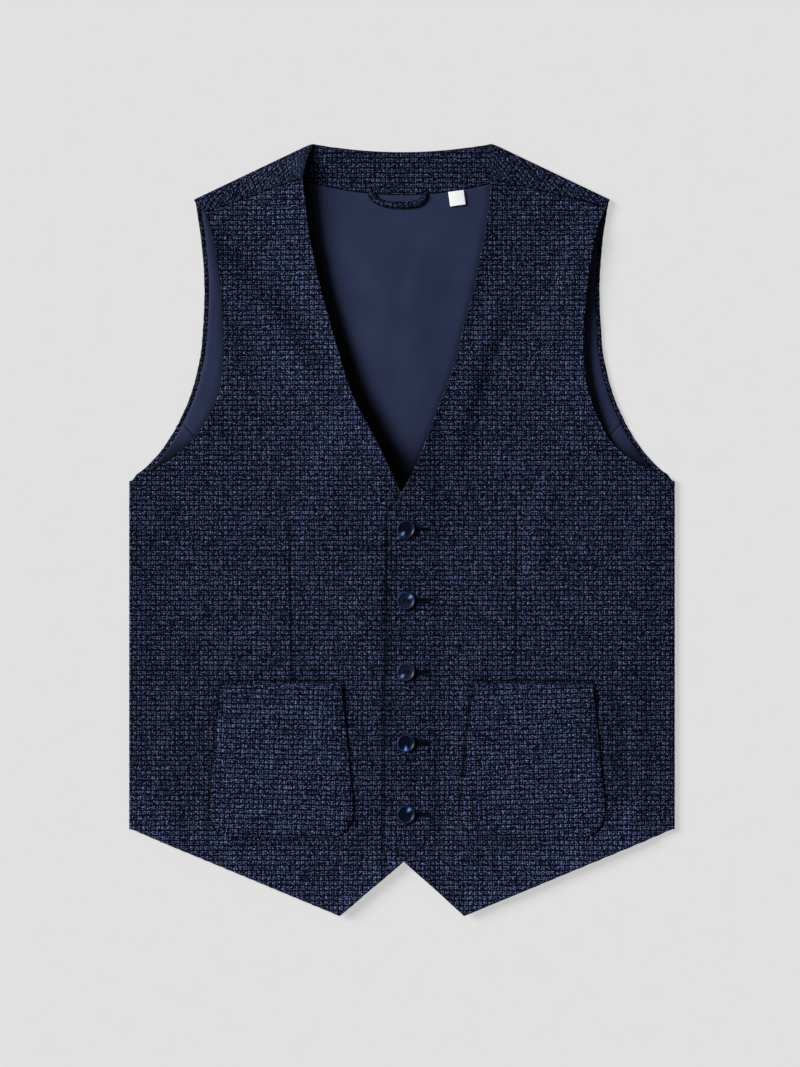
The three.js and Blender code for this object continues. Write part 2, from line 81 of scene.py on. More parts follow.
# Half widths of the side seams, which lie under the waistcoat
SIDE_SEAM = table("y half", [
    (93, 197.0), (80, 186.5), (60, 177.5), (20, 172.0), (-120, 172.0), (-263, 176.0),
])
UNDERARM = 93.0
SEAM_CLEAR = 0.05  # between a front's edge and the back's
SHOULDER_SEAM = {"right": (309.0, 279.0), "left": (309.0, 284.0)}  # height at neck and at arm
SIGN = {"right": -1, "left": 1}
SIDES = ("right", "left")

POCKET_MIDDLE = {"right": 106.4, "left": 114.9}
POCKET_TOP, POCKET_WIDEST, POCKET_BOTTOM, POCKET_CORNER = -135.5, -240.0, -271.0, 22.0
POCKET_HALF_TOP, POCKET_HALF_BOTTOM = 53.4, 63.6
POCKET_LOW = -270.9  # just above its lower edge
DART_ACROSS, DART_TOP, DART_BOTTOM = 99.5, 24.0, -134.0
BUTTON_X, BUTTON_FIRST, BUTTON_PITCH, BUTTON_RADIUS, BUTTON_HIGH = 3.5, 0.3, 62.7, 8.0, 3.0
BUTTON_YS = [BUTTON_FIRST - i * BUTTON_PITCH for i in range(5)]
HOLE_FROM, HOLE_TO, HOLE_WIDE = 4.0, 23.5, 1.2
FACING_MIDDLE, FACING_RISE, FACING_SPREAD, FACING_HALF = 294.8, 10.0, 77.0, 112.0
ARMHOLE_RIM = 4.2

# Heights of the middle of each layer
BACK_MID = SUITING / 2
SATIN_MID = SUITING + GAP + SATIN / 2
SATIN_TOP = SATIN_MID + SATIN / 2
FACING_MID = SUITING + GAP + SUITING / 2
FRONT_MID = SATIN_TOP + GAP + SUITING / 2
LAP = SUITING + GAP
LAP_FULL, LAP_NONE = 22.0, 37.0
LAP_EDGE = 13.5  # where the left front's edge lies on the right front

# How far the fronts stand away from the lining
SHOULDER_RISE = 0.8
NECK_LIFT, NECK_LIFT_WIDE = {"right": 11.0, "left": 2.6}, {"right": 85.0, "left": 40.0}
NECK_LIFT_MORE, NECK_LIFT_Y = 0.22, 110  # the share by which it is higher there
ARM_LIFT, ARM_LIFT_WIDE = {"right": 1.8, "left": 5.5}, {"right": 30.0, "left": 50.0}
HEM_LIFT, HEM_LIFT_WIDE = 3.6, 45.0
POINT_LIFT = 4.5  # where the fronts meet at the foot of the V
HIGHEST = 18.9

WEAVE = 4.4  # one block of the basket weave
CREASE_BEND = 0.0009  # how much a crease curves

# Soft creases of each front: the middle of each, the way it runs, its size and its height.
# A trough has a height below zero.
CREASES = {
    "right": table("x y angle long wide high", [
        (-122, 192, -48, 165, 16, 2.0), (-104, 208, -48, 140, 15, -1.2),
        (-170, 150, -72, 90, 16, -0.7), (-205, -5, -35, 80, 16, 1.0),
        (-190, -60, -80, 170, 26, -0.9), (-103, -10, 86, 80, 12, -0.7),
        (-60, 60, 70, 150, 24, 0.8), (-30, -60, 88, 220, 13, -0.7),
        (-150, -110, 8, 120, 18, 0.5), (-70, -300, 40, 120, 20, 0.7),
        (-205, -200, 82, 150, 18, 0.6), (-120, 120, 20, 120, 22, 0.5),
    ]),
    "left": table("x y angle long wide high", [
        (66, 140, 68, 170, 15, 1.3), (92, 175, 66, 130, 15, -0.8),
        (130, 250, 75, 90, 16, -0.9), (150, 235, 72, 80, 12, 0.8),
        (95, 40, 55, 120, 16, -0.7), (120, -10, 84, 120, 12, 0.7),
        (186, -170, -82, 150, 13, -1.5), (205, -180, -84, 170, 14, 0.8),
        (55, -190, 86, 200, 14, 0.7), (150, -80, -10, 150, 20, 0.5),
        (215, -30, 80, 120, 15, 0.6), (80, -305, -30, 110, 20, 0.6),
    ]),
}
# Soft creases of the satin that shows in the V
LINING_CREASES = table("x y angle long wide high", [
    (-30, 235, -62, 130, 10, 0.5), (22, 250, 68, 150, 9, 0.5), (-6, 160, 84, 160, 9, -0.5),
    (40, 210, 72, 110, 10, -0.4), (-45, 270, -50, 70, 8, -0.4), (10, 290, 12, 90, 7, 0.3),
    (12, 100, 76, 90, 7, 0.35), (-60, 300, 30, 60, 8, 0.3),
])


def step(value, low, high):
    """0 below low and 1 above high, with a soft start and end."""
    share = np.clip((value - low) / (high - low), 0.0, 1.0)
    return share * share * (3 - 2 * share)


def mix(a, b, share):
    return a + (b - a) * share


def fall(value, low, high):
    return 1 - step(value, low, high)


def bell(distance, wide):
    return np.exp(-((distance / wide) ** 2))


def stacked(*parts):
    """Arrays of x, y and so on as one array of points."""
    return np.stack(parts, -1)


def turned(x, y, degrees):
    """Points turned round the origin, anticlockwise."""
    c, s = math.cos(math.radians(degrees)), math.sin(math.radians(degrees))
    return x * c - y * s, x * s + y * c


def unit(vectors):
    return vectors / np.linalg.norm(vectors, axis=-1, keepdims=True)


def curve(rows, column):
    """A smooth curve through a table's column that never overshoots it, as a function of y."""
    ys, values = rows["y"][::-1], rows[column][::-1]
    spans = np.diff(ys)
    slopes = np.diff(values) / spans
    turning = slopes[:-1] * slopes[1:] <= 0
    total = np.where(turning, 1.0, slopes[:-1] + slopes[1:])
    inner = np.where(turning, 0.0, 2 * slopes[:-1] * slopes[1:] / total)
    tangents = np.concatenate([slopes[:1], inner, slopes[-1:]])

    def at(y):
        y = np.clip(y, ys[0], ys[-1])
        i = np.clip(np.searchsorted(ys, y, side="right") - 1, 0, len(spans) - 1)
        t = (y - ys[i]) / spans[i]
        return (
            (2 * t**3 - 3 * t**2 + 1) * values[i]
            + (t**3 - 2 * t**2 + t) * spans[i] * tangents[i]
            + (3 * t**2 - 2 * t**3) * values[i + 1]
            + (t**3 - t**2) * spans[i] * tangents[i + 1]
        )

    return at


neckline = {side: curve(NECKLINE, side) for side in SIDES}
armhole = {side: curve(ARMHOLE, side) for side in (*SIDES, "back")}
side_seam = curve(SIDE_SEAM, "half")


def meeting(column, edge, guess):
    """The height at which a column of the cloth meets a slanting edge."""
    y = guess
    for _ in range(40):
        y = mix(y, edge(column(y)), 0.6)
    return y


def creases(rows, x, y):
    """The height that soft creases add at each point."""
    total = np.zeros_like(x)
    for cx, cy, angle, length, wide, high in zip(*rows.values()):
        run, off = turned(x - cx, y - cy, -angle)
        off = off + CREASE_BEND * run * run
        total += high * np.exp(-((off / wide) ** 2) - (run / (0.5 * length)) ** 4)
    return total


def ripple(x, y, size, seed):
    """Slow unevenness between -1 and 1, from a few waves in fixed directions."""
    rng = np.random.default_rng(seed)
    total = np.zeros_like(x)
    for _ in range(7):
        angle, phase = rng.uniform(0, math.tau, 2)
        wave = rng.uniform(0.7, 1.5) * size
        total += np.sin((x * math.cos(angle) + y * math.sin(angle)) * math.tau / wave + phase)
    return total / 7


# Painted shade on the rounded cut edges, darker towards each edge's foot
RIM_SHADES = (0.8, 0.5, 0.4)  # from the top of a cut edge to its foot
RIM_RUN = 0.8  # how far the weave runs on from ring to ring, in radii


class Cloth:
    """Patches of quads that share corner points, thickened into a shell with round edges."""

    def __init__(self):
        self.points, self.uvs, self.faces, self.count = [], [], [], 0

    def patch(self, points, uvs=None, side="left"):
        """Adds a grid of points. Its uvs are its x and y, or others in millimetres. A grid of
        the right side runs to -X, so its columns are turned round."""
        uvs = points[..., :2] if uvs is None else uvs
        if side == "right":
            points, uvs = points[:, ::-1], uvs[:, ::-1]
        rows, columns = points.shape[:2]
        index = np.arange(rows * columns).reshape(rows, columns) + self.count
        corners = stacked(index[:-1, :-1], index[:-1, 1:], index[1:, 1:], index[1:, :-1])
        self.faces.append(corners.reshape(-1, 4))
        self.points.append(points.reshape(-1, 3))
        self.uvs.append(uvs.reshape(-1, 2) / WEAVE)
        self.count += rows * columns
        return self

    def joined(self):
        """Points, uvs and faces, with the points that patches share made one."""
        points, uvs = np.concatenate(self.points), np.concatenate(self.uvs)
        keys = np.round(points * 1000).astype(np.int64)
        _, first, inverse = np.unique(keys, axis=0, return_index=True, return_inverse=True)
        return points[first], uvs[first], inverse.reshape(-1)[np.concatenate(self.faces)]

    def shell(self, name, half, relief=None, shade=None, ragged=0.0):
        """Makes the object. Relief adds to the wall above, and shade is the painted light and shade
        that scales its colour there. Ragged is how far the yarns push the edge in and out."""
        points, uvs, faces = self.joined()
        a, b, c, d = (points[faces[:, i]] for i in range(4))
        face_normals = np.cross(c - a, d - b)
        normals, outward = np.zeros_like(points), np.zeros_like(points)
        for corner in faces.T:
            np.add.at(normals, corner, face_normals)
        normals = unit(normals)

        edges = np.concatenate([faces[:, [i, (i + 1) % 4]] for i in range(4)])
        code = edges[:, 0] * len(points) + edges[:, 1]
        back_code = edges[:, 1] * len(points) + edges[:, 0]
        rim = edges[~np.isin(code, back_code)]
        out = unit(np.cross(points[rim[:, 1]] - points[rim[:, 0]], normals[rim[:, 0]]))
        for end in rim.T:
            np.add.at(outward, end, out)
        on_rim = np.unique(rim)
        outward[on_rim] = unit(outward[on_rim])

        above = half + (relief(points, normals) if relief else 0.0)
        radius = np.broadcast_to((above + half) / 2, len(points))
        shades = shade(points, normals) if shade else np.ones(len(points))
        push = ragged * edge_bumps(points)
        middle = points + normals * (radius - half)[:, None] + outward * (push - radius)[:, None]
        rise = normals * radius[:, None]
        layers, layer_uvs, layer_shades = [middle + rise, middle - rise], [uvs, uvs], [shades, shades]
        start, up, out = middle[on_rim], normals[on_rim], outward[on_rim]
        reach = radius[on_rim][:, None]
        rings = [on_rim]
        # Painted shade: each ring round a cut edge is darker than the one above it
        for k, dim in enumerate(RIM_SHADES, 1):
            angle = math.pi / 2 - math.pi * k / (len(RIM_SHADES) + 1)
            layers.append(start + up * (math.sin(angle) * reach) + out * (math.cos(angle) * reach))
            layer_uvs.append(uvs[on_rim] + out[:, :2] * (k * RIM_RUN * reach) / WEAVE)
            layer_shades.append(shades[on_rim] * dim)
            rings.append(2 * len(points) + np.arange((k - 1) * len(on_rim), k * len(on_rim)))
        rings.append(on_rim + len(points))
        i, j = np.searchsorted(on_rim, rim).T
        quads = [faces, faces[:, ::-1] + len(points)]
        quads += [stacked(last[j], last[i], now[i], now[j]) for last, now in zip(rings, rings[1:])]
        points, uvs, shades = map(np.concatenate, (layers, layer_uvs, layer_shades))
        return make_mesh(name, points, np.concatenate(quads), uvs, shades)


def edge_bumps(points):
    """Unevenness of about a yarn's width along an edge."""
    x, y = points[:, 0], points[:, 1]
    return np.sin(x * 1.31 + y * 1.57) * 0.5 + np.sin(x * 2.9 - y * 2.3 + 1.7) * 0.5


def make_mesh(name, points, faces, uvs=None, shades=None):
    """A mesh object from points in millimetres."""
    mesh = bpy.data.meshes.new(name)
    faces = [tuple(int(i) for i in face) for face in faces]
    mesh.from_pydata((np.asarray(points) * MM).tolist(), [], faces)
    if uvs is not None:
        layer = mesh.uv_layers.new(name="weave")
        loops = np.empty(len(mesh.loops), np.int32)
        mesh.loops.foreach_get("vertex_index", loops)
        layer.data.foreach_set("uv", uvs[loops].astype(np.float32).ravel())
    shades = np.ones(len(mesh.vertices)) if shades is None else shades
    layer = mesh.attributes.new("shade", "FLOAT", "POINT")
    layer.data.foreach_set("value", np.asarray(shades, np.float32))
    mesh.polygons.foreach_set("use_smooth", [True] * len(mesh.polygons))
    mesh.update()
    made = bpy.data.objects.new(name, mesh)
    bpy.context.scene.collection.objects.link(made)
    return made


def rising(low, high, count):
    """Rows of heights that climb evenly from one edge of the cloth to the other."""
    return np.array([mix(low, high, t) for t in np.linspace(0, 1, count)])


def level_rows(low, high, count, columns):
    return np.tile(np.linspace(low, high, count)[:, None], columns)


def seen(side, points):
    """Distance from the middle, and height, of points of one side."""
    return SIGN[side] * points[:, 0], points[:, 1]


# The outlines


def hem_y(side, across):
    to_notch = (NOTCH_Y - TIP_Y) / (SIGN[side] * NOTCH_X - TIP_ACROSS)
    to_side = (SIDE_HEM - TIP_Y) / (SIDE_ACROSS - TIP_ACROSS)
    return TIP_Y + (across - TIP_ACROSS) * np.where(across < TIP_ACROSS, to_notch, to_side)


def fold_y(across):
    return TOP + (across - NECK_ACROSS) * (SHOULDER_Y - TOP) / (SHOULDER_ACROSS - NECK_ACROSS)


def neck_y(across):
    return NECK_MIDDLE + (TOP - NECK_MIDDLE) * (across / NECK_ACROSS) ** 2


def seam_y(side, across):
    neck, arm = SHOULDER_SEAM[side]
    inner, outer = neckline[side](neck), armhole[side](arm)
    return mix(neck, arm, (across - inner) / (outer - inner))


def facing_y(across):
    return FACING_MIDDLE + FACING_RISE * (across / FACING_SPREAD) ** 2


def turn_radius(top_z):
    return (top_z - BACK_MID) / 2 + SUITING / 2


FRONT_FOLD = turn_radius(FRONT_MID)
FOLD_SLOPE = math.atan2(TOP - SHOULDER_Y, SHOULDER_ACROSS - NECK_ACROSS)
FOLD_TOP = FRONT_MID + SHOULDER_RISE
FOLD_INSET = turn_radius(FOLD_TOP) / math.cos(FOLD_SLOPE)


def back_top(across):
    return np.where(across < NECK_ACROSS - 0.01, neck_y(across), fold_y(across) - FOLD_INSET)


def near(distance, wide):
    """1 at an edge and beyond it, and 0 from a width away."""
    return np.maximum(1 - np.maximum(distance, 0) / wide, 0) ** 2


def front_mid(side, across, y, creased=True):
    """The height of the middle of a front, which its pocket and buttons follow too."""
    near_neck = near(across - neckline[side](y), NECK_LIFT_WIDE[side])
    near_arm = near(armhole[side](y) - across, ARM_LIFT_WIDE[side])
    near_hem = near(y - hem_y(side, across), HEM_LIFT_WIDE)
    neck_stretch = step(y, 30, 66) * fall(y, 316, 335)
    arm_stretch = step(y, 60, 110) * fall(y, 250, 285)
    resting = FRONT_MID + SHOULDER_RISE * step(y, 230, 290)
    if side == "left":
        resting = resting + LAP * fall(across, LAP_FULL, LAP_NONE)
    highest = 1 + NECK_LIFT_MORE * bell(y - NECK_LIFT_Y, 60)
    height = resting + NECK_LIFT[side] * near_neck * neck_stretch * highest
    height = height + ARM_LIFT[side] * near_arm * arm_stretch
    x = SIGN[side] * across
    height = height + POINT_LIFT * np.exp(-(((y - 48) / 36) ** 2) - ((x + 4) / 42) ** 2)
    height = height + HEM_LIFT * near_hem * step(SIDE_ACROSS - across, 4, 40)
    if creased:
        calm = step(SIDE_ACROSS - across, 2, 30) * step(across, 18, 45) * step(y, -335, -290)
        calm = calm * fall(y, 262, 285)
        swell = 3.0 * creases(CREASES[side], x, y) + 0.5 * ripple(x, y, 60, 3)
        height = resting + above_zero(height - resting, calm * swell)
    return np.minimum(height, HIGHEST)


def above_zero(start, change):
    """Start plus change, bent so that it stays close to zero or above it."""
    soft = 0.6
    end = start + change
    return (start + end + np.sqrt(end**2 + soft**2) - np.sqrt(start**2 + soft**2)) / 2


FOLD_STEPS = 10


def turn(x, y, top_z, outward):
    """A half turn of cloth from the top layer round to the back layer, for points in a row."""
    radius = (top_z - BACK_MID) / 2
    angles = np.linspace(math.pi / 2, -math.pi / 2, FOLD_STEPS + 1)
    out = radius[:, None] * np.cos(angles)
    z = BACK_MID + radius[:, None] * (1 + np.sin(angles))
    out_x, out_y = (np.broadcast_to(way, len(x))[:, None] for way in outward)
    return stacked(x[:, None] + out_x * out, y[:, None] + out_y * out, z)


# The fronts


def front_outer(side, y):
    return armhole[side](y) - FRONT_FOLD * fall(y, SIDE_TOP, SIDE_TOP + 12)


def front_column(side, share, y):
    """Distance from the middle at height y of the column at a share of the front's width."""
    low_edge = neckline[side](NOTCH_Y)
    power = mix(4.0, 1.0, step(y, 30, 110))
    lean = (neckline[side](y) - low_edge) * (1 - share) ** power
    return mix(low_edge, front_outer(side, y), share) + lean


def finer_near(places, low, high, spacing, fine, reach):
    """Values from low to high, at a fine spacing within reach of the places."""
    values = [low]
    while values[-1] < high:
        close = min(abs(values[-1] - p) for p in places) < reach
        values.append(values[-1] + (fine if close else spacing))
    values[-1] = high
    return np.array(values)


def front_mesh(side):
    low_edge, low_outer = neckline[side](NOTCH_Y), front_outer(side, 0.0)
    edges = [float(low_edge), DART_ACROSS - 1, DART_ACROSS + 1, TIP_ACROSS]
    if side == "right":
        edges.append(LAP_EDGE)
    across = finer_near(edges, low_edge, low_outer, spacing=2.6 * FINE, fine=0.9 * FINE, reach=4.0)
    shares = (across - low_edge) / (low_outer - low_edge)

    column = partial(front_column, side, shares)
    low = meeting(column, lambda a: hem_y(side, a), TIP_Y)
    high = meeting(column, lambda a: seam_y(side, a) - GAP, SHOULDER_Y)
    waist = level_rows(0, SIDE_TOP, 18 // FINE, len(shares))[1:]
    down = np.concatenate([rising(low, 0.0, 130 // FINE), waist])
    cloth = Cloth()
    for y, wrapped in ((down, True), (rising(SIDE_TOP, high, 112 // FINE), False)):
        across = column(y)
        points = stacked(SIGN[side] * across, y, front_mid(side, across, y))
        uvs = stacked(across, y)
        if wrapped:
            share = (y[:, -1] - y[0, -1]) / (y[-1, -1] - y[0, -1])
            points, uvs = wrap(side, points, uvs, share)
        cloth.patch(points, uvs * (SIGN[side], 1), side=side)
    return cloth


def wrap(side, points, uvs, share):
    """Carries each row of a front round the side fold and under, to the side seam."""
    start = SIDE_ACROSS - FRONT_FOLD
    last = points[:, -1]
    out = (float(SIGN[side]), 0.0)
    bend = turn(last[:, 0], last[:, 1], last[:, 2], out)[:, 1:]
    strip, strip_uvs = [], []
    for t in np.linspace(0, 1, 16 // FINE)[1:]:
        def inward(y):
            return mix(start, side_seam(y) + SEAM_CLEAR, t)
        high = meeting(inward, arm_y, SIDE_TOP) if t < 1 else UNDERARM
        y = mix(mix(last[:, 1], BACK_HEM, t), high, share)
        strip.append(stacked(SIGN[side] * inward(y), y, np.full(len(y), BACK_MID)))
        strip_uvs.append(stacked(2 * SIDE_ACROSS - inward(y), y))
    along = np.linspace(0, 2 * FRONT_FOLD, bend.shape[1] + 1)[1:]
    bend_uvs = stacked(start + np.tile(along, (len(bend), 1)), bend[..., 1])
    points = np.concatenate([points, bend, np.stack(strip, 1)], 1)
    return points, np.concatenate([uvs, bend_uvs, np.stack(strip_uvs, 1)], 1)


def arm_y(across):
    """The height of the armhole's lower edge on the back at a distance from the middle."""
    ys = np.linspace(SIDE_TOP, 200.0, 400)
    return np.interp(-across, -armhole["back"](ys), ys)


def seam_pinch(distance, wide, deep):
    return -deep * bell(distance, wide)


def front_relief(side, points, normals):
    """What the outer face adds: the dart's seam, thicker turned edges and flattened seams."""
    across, y = seen(side, points)
    dart = seam_pinch(across - dart_line(side, y), 1.2, 0.8) * on_dart(y)
    from_edge = across - neckline[side](y)
    from_hem = y - hem_y(side, across)
    edge = 0.25 * bell(from_edge, 2.5) + 0.2 * bell(from_hem, 2.5)
    pressed = seam_pinch(from_edge - 6.5, 2.2, 0.14) + seam_pinch(from_hem - 6.5, 2.2, 0.12)
    seam = seam_pinch(y - seam_y(side, across), 2.0, 0.35) * step(y, 250, 270)
    lap = seam_pinch(under_lap(side, across, y) - 1.6, 1.8, 0.75)
    side_fold = 0.16 * edge_bumps(points) * step(across, SIDE_ACROSS - 4.3, SIDE_ACROSS - 1.3)
    return np.where(normals[:, 2] > 0.5, dart + edge + pressed + seam + lap, side_fold)


def dart_line(side, y):
    """The dart leans in towards the middle on its way down."""
    top, bottom = {"right": (99.6, 96.0), "left": (101.0, 99.4)}[side]
    return mix(bottom, top, (y - DART_BOTTOM) / (DART_TOP - DART_BOTTOM))


def on_dart(y):
    return step(y, DART_BOTTOM - 4, DART_BOTTOM) * fall(y, DART_TOP - 22, DART_TOP)


def under_lap(side, across, y):
    """How far a point of the right front lies outside the left front's edge. Far on the left."""
    if side == "left":
        return np.full_like(across, 99.0)
    return np.where(y < 42, across + neckline["left"](y), 99.0)


def front_shade(side, points, normals):
    """Painted shade on a front: dark lines along its dart, round its pocket and beside the
    overlapping edge. Then broad painted light and shade, such as the paler stretch above the hem."""
    across, y = seen(side, points)
    # Painted shade: dark lines in the dart, round the pocket, above its mouth, below it and beside
    # the lapped edge
    dart = 0.72 * bell(across - dart_line(side, y), 1.1) * on_dart(y)
    beside = np.abs(across - POCKET_MIDDLE[side]) - pocket_half(np.clip(y, POCKET_LOW, POCKET_TOP))
    below = POCKET_BOTTOM - y
    level = step(y, POCKET_BOTTOM - 2, POCKET_BOTTOM + 4) * fall(y, POCKET_TOP, POCKET_TOP + 3.5)
    right_of = step(points[:, 0] - SIGN[side] * POCKET_MIDDLE[side], -20, 20)
    sides = mix(0.75, 0.35, right_of) * bell(beside - 0.6, 1.8) * level
    mouth = 0.62 * bell(y - POCKET_TOP - 1.8, 2.4) * fall(beside, -1, 3)
    foot = 0.35 * bell(below - 0.6, 2.0) * fall(beside, -26, -16)
    lap = 0.72 * bell(under_lap(side, across, y) - 1.4, 1.9)
    dark = (1 - dart) * (1 - sides) * (1 - mouth) * (1 - foot) * (1 - lap)
    from_hem = y - hem_y(side, across)
    # Broad painted light and shade: paler above the hem, darker down the middle by the buttons and at
    # the outer sides
    broad = 0.95 + 0.24 * fall(from_hem, 5, 70)
    broad = broad - 0.12 * np.exp(-(((points[:, 0] + 1) / 17) ** 4)) * fall(y, -10, 20)
    broad = broad - 0.10 * step(across, 165, 225) * fall(y, 230, 270)
    if side == "left":
        # Painted shade on the left front: a darker patch on the chest, and a painted shadow in the
        # dip beside the pocket
        chest = bell(across - 142, 30) * step(y, 110, 170)
        broad = broad - 0.12 * chest * fall(y, 265, 285)
        band = bell(across - 192, 13) * step(y, -262, -225)
        broad = broad - 0.20 * band * fall(y, -150, -110)
    return np.where(normals[:, 2] > 0.5, dark * broad, 1.0)


# The back, with its flaps over the shoulders


def back_half(y):
    return np.where(y > UNDERARM, armhole["back"](y), side_seam(y))


NECK_SHARE = NECK_ACROSS / SHOULDER_ACROSS


def half_shares(inner, outer):
    neck = np.linspace(0, NECK_SHARE, inner + 1)
    neck[-2] = NECK_SHARE - 0.004  # the neck's edge runs close up to the fold
    return np.concatenate([neck, np.linspace(NECK_SHARE, 1, outer + 1)[1:]])


def both_ways(shares):
    return np.concatenate([-shares[:0:-1], shares])


def back_mesh(side):
    """One half of the back. The halves meet at the centre seam."""
    inner, outer = 24 // FINE, 34 // FINE
    shares = half_shares(inner, outer)

    def column(y):
        return np.maximum(shares * back_half(y), GAP / 2)

    low = level_rows(BACK_HEM, UNDERARM, 120 // FINE, len(shares))
    tops = meeting(column, back_top, SHOULDER_Y)
    cloth = Cloth()
    for y in (low, rising(UNDERARM, tops, 84 // FINE)):
        x = SIGN[side] * column(y)
        cloth.patch(stacked(x, y, np.full_like(x, BACK_MID)), side=side)
    return cloth.patch(*shoulder_flap(side, shares[inner:]), side=side)


def shoulder_flap(side, shares):
    """The back's cloth where it turns over the shoulder and down to the forward seam."""
    lean = FOLD_SLOPE * step(shares, NECK_SHARE, NECK_SHARE + 0.06)
    outward = (SIGN[side] * np.sin(lean), np.cos(lean))
    start_y = meeting(lambda y: shares * back_half(y), back_top, SHOULDER_Y)
    start = shares * back_half(start_y)
    along_seam = (shares - NECK_SHARE) / (1 - NECK_SHARE)

    def column(y):
        return mix(neckline[side](y), armhole[side](y), along_seam)

    seam = meeting(column, lambda a: seam_y(side, a), SHOULDER_Y)
    top_z = np.full(len(shares), FOLD_TOP)
    bend = turn(SIGN[side] * start, start_y, top_z, outward)[:, ::-1]
    tuck = np.where(shares == shares[0], 1.2, 0.0)  # the fold's end covers the neck's corner
    raised = (bend[0, :, 2] - BACK_MID) / (FOLD_TOP - BACK_MID)
    bend[..., 0] -= SIGN[side] * tuck[:, None] * raised
    flat = []
    for t in np.linspace(0, 1, 16 // FINE)[1:]:
        y = mix(start_y, seam, t)
        across = column(y) + (start - tuck - column(start_y)) * (1 - t)
        flat.append(stacked(SIGN[side] * across, y, front_mid(side, across, y)))
    points = np.concatenate([bend, np.stack(flat, 1)], 1)
    points = np.swapaxes(points, 0, 1)
    # Unfolded, each column runs on outward from the back by its own length.
    lengths = np.linalg.norm(np.diff(points, axis=0), axis=2)
    run = np.concatenate([np.zeros((1, len(shares))), np.cumsum(lengths, axis=0)])
    return points, points[0, :, :2] + stacked(*outward) * run[..., None]


ROLL_HIGH, ROLL_BUMPS, ROLL_PITCH = 1.25, 0.35, 4.6


def back_relief(points, normals):
    """The wool that turns in over the armhole's edge stands up beside the satin."""
    inside = (normals[:, 2] > 0.5) & (points[:, 2] < SUITING)
    x, y = points[:, 0], points[:, 1]
    along_arm = step(y, UNDERARM - 1, UNDERARM + 6)
    bumps = ROLL_BUMPS * np.sin(y * math.tau / ROLL_PITCH)
    high = (ROLL_HIGH + bumps) * fall(armhole["back"](y) - np.abs(x), 2.4, 4.2) * along_arm
    return np.where(inside, high, 0.0)


def back_shade(points, normals):
    """The rolled edges of the armholes and the shoulders are darker than the rest."""
    y = points[:, 1]
    from_arm = armhole["back"](y) - np.abs(points[:, 0])
    rolled = 1 - 0.35 * fall(from_arm, 3, 6) * step(y, 60, 100)
    return np.where(points[:, 2] > SATIN_TOP, 0.85, rolled)


# The lining


def lining_seam(y):
    return side_seam(y) - ARMHOLE_RIM


def lining_half(y):
    return np.where(y > UNDERARM, armhole["back"](y) - ARMHOLE_RIM, lining_seam(y) - GAP / 2)


def lining_z(x, y):
    """The satin swells a little between the fronts, and dips where they press on it."""
    in_v = step(y, 60, 150) * fall(y, 235, 282)
    swell = 2.6 * bell(x - 6, 42) * in_v
    soft = (creases(LINING_CREASES, x, y) + 0.12 * ripple(x, y, 34, 11)) * in_v
    room = step(80 - np.abs(x), 0, 30)
    return SATIN_MID + swell + np.maximum(soft * room, -0.55)


def satin_shade(points, normals):
    """Painted shadow: the satin is darker beside the fronts' edges, at the foot of the V and low
    in the armholes, where the fronts shade it."""
    x, y = points[:, 0], points[:, 1]
    # Painted shadow beside the right front's edge in the V, wider lower down
    from_edge = x + neckline["right"](y)
    reach = mix(18.0, 8.5, step(y, 90, 260))
    in_v = step(y, 20, 40) * (np.abs(x) < 110)
    dark = 0.93 * fall(from_edge, 0.3 * reach, 1.5 * reach) * in_v
    from_left = neckline["left"](y) - x
    dark_left = 0.5 * bell(from_left, 3.5) * in_v
    foot = fall(y, 46, 92) * in_v
    shade = (1 - dark) * (1 - dark_left) * (1 - 0.8 * foot)
    # Painted shade in the low corners of the armholes
    corner = fall(y, 57, 90) * (np.abs(x) > 150)
    shade = shade * (1 - 0.75 * corner)
    # Painted shadow on the satin beside each front's armhole edge
    for side in SIDES:
        run = (armhole[side](y + 1) - armhole[side](y - 1)) / 2
        beyond = (SIGN[side] * x - armhole[side](y)) / np.sqrt(1 + run * run)
        beside = bell(np.maximum(beyond, 0), 3.2) * (SIGN[side] * x > 120)
        shade = shade * (1 - 0.6 * beside)
    return shade


def back_lining_mesh():
    shares = both_ways(half_shares(26 // FINE, 24 // FINE))

    def column(y):
        return shares * lining_half(y)

    def top(x):
        return np.minimum(facing_y(x), back_top(np.maximum(np.abs(x), NECK_ACROSS))) - GAP

    low = level_rows(LINING_HEM, UNDERARM, 70 // FINE, len(shares))
    tops = meeting(column, top, SHOULDER_Y)
    cloth = Cloth()
    for y in (low, rising(UNDERARM, tops, 90 // FINE)):
        x = column(y)
        cloth.patch(stacked(x, y, lining_z(x, y)))
    return cloth


def side_lining_mesh(side):
    """The satin under the arm, from the lining's seam out to the side fold."""
    outer = SIDE_ACROSS - FRONT_FOLD - GAP
    diagonal = ARMHOLE_RIM * math.sqrt(0.5)
    shares = np.linspace(0, 1, 26 // FINE)

    def column(y):
        return mix(lining_seam(np.minimum(y, UNDERARM)) + GAP / 2, outer, shares)

    def top(across):
        return arm_y(across + diagonal) - diagonal

    tops = meeting(column, top, SIDE_TOP)
    tops[0] = UNDERARM
    y = rising(LINING_HEM, tops, 110 // FINE)
    x = SIGN[side] * column(y)
    return Cloth().patch(stacked(x, y, SATIN_MID + 0.15 * ripple(x, y, 30, 21)), side=side)


def neck_facing_mesh():
    x = both_ways(np.linspace(0, FACING_HALF, 60 // FINE))
    a = np.abs(x)
    top = np.where(a < NECK_ACROSS, neck_y(a), back_top(a) - GAP)
    top = np.minimum(top, TOP - FOLD_INSET - GAP)
    y = rising(facing_y(x), top, 24 // FINE)
    x = np.tile(x, (len(y), 1))
    z = FACING_MID + 0.2 * ripple(x, y, 45, 5) + 0.35 * bell(y - facing_y(x), 2.5)
    return Cloth().patch(stacked(x, y, z), stacked(x + 1.3, y + 2.1))


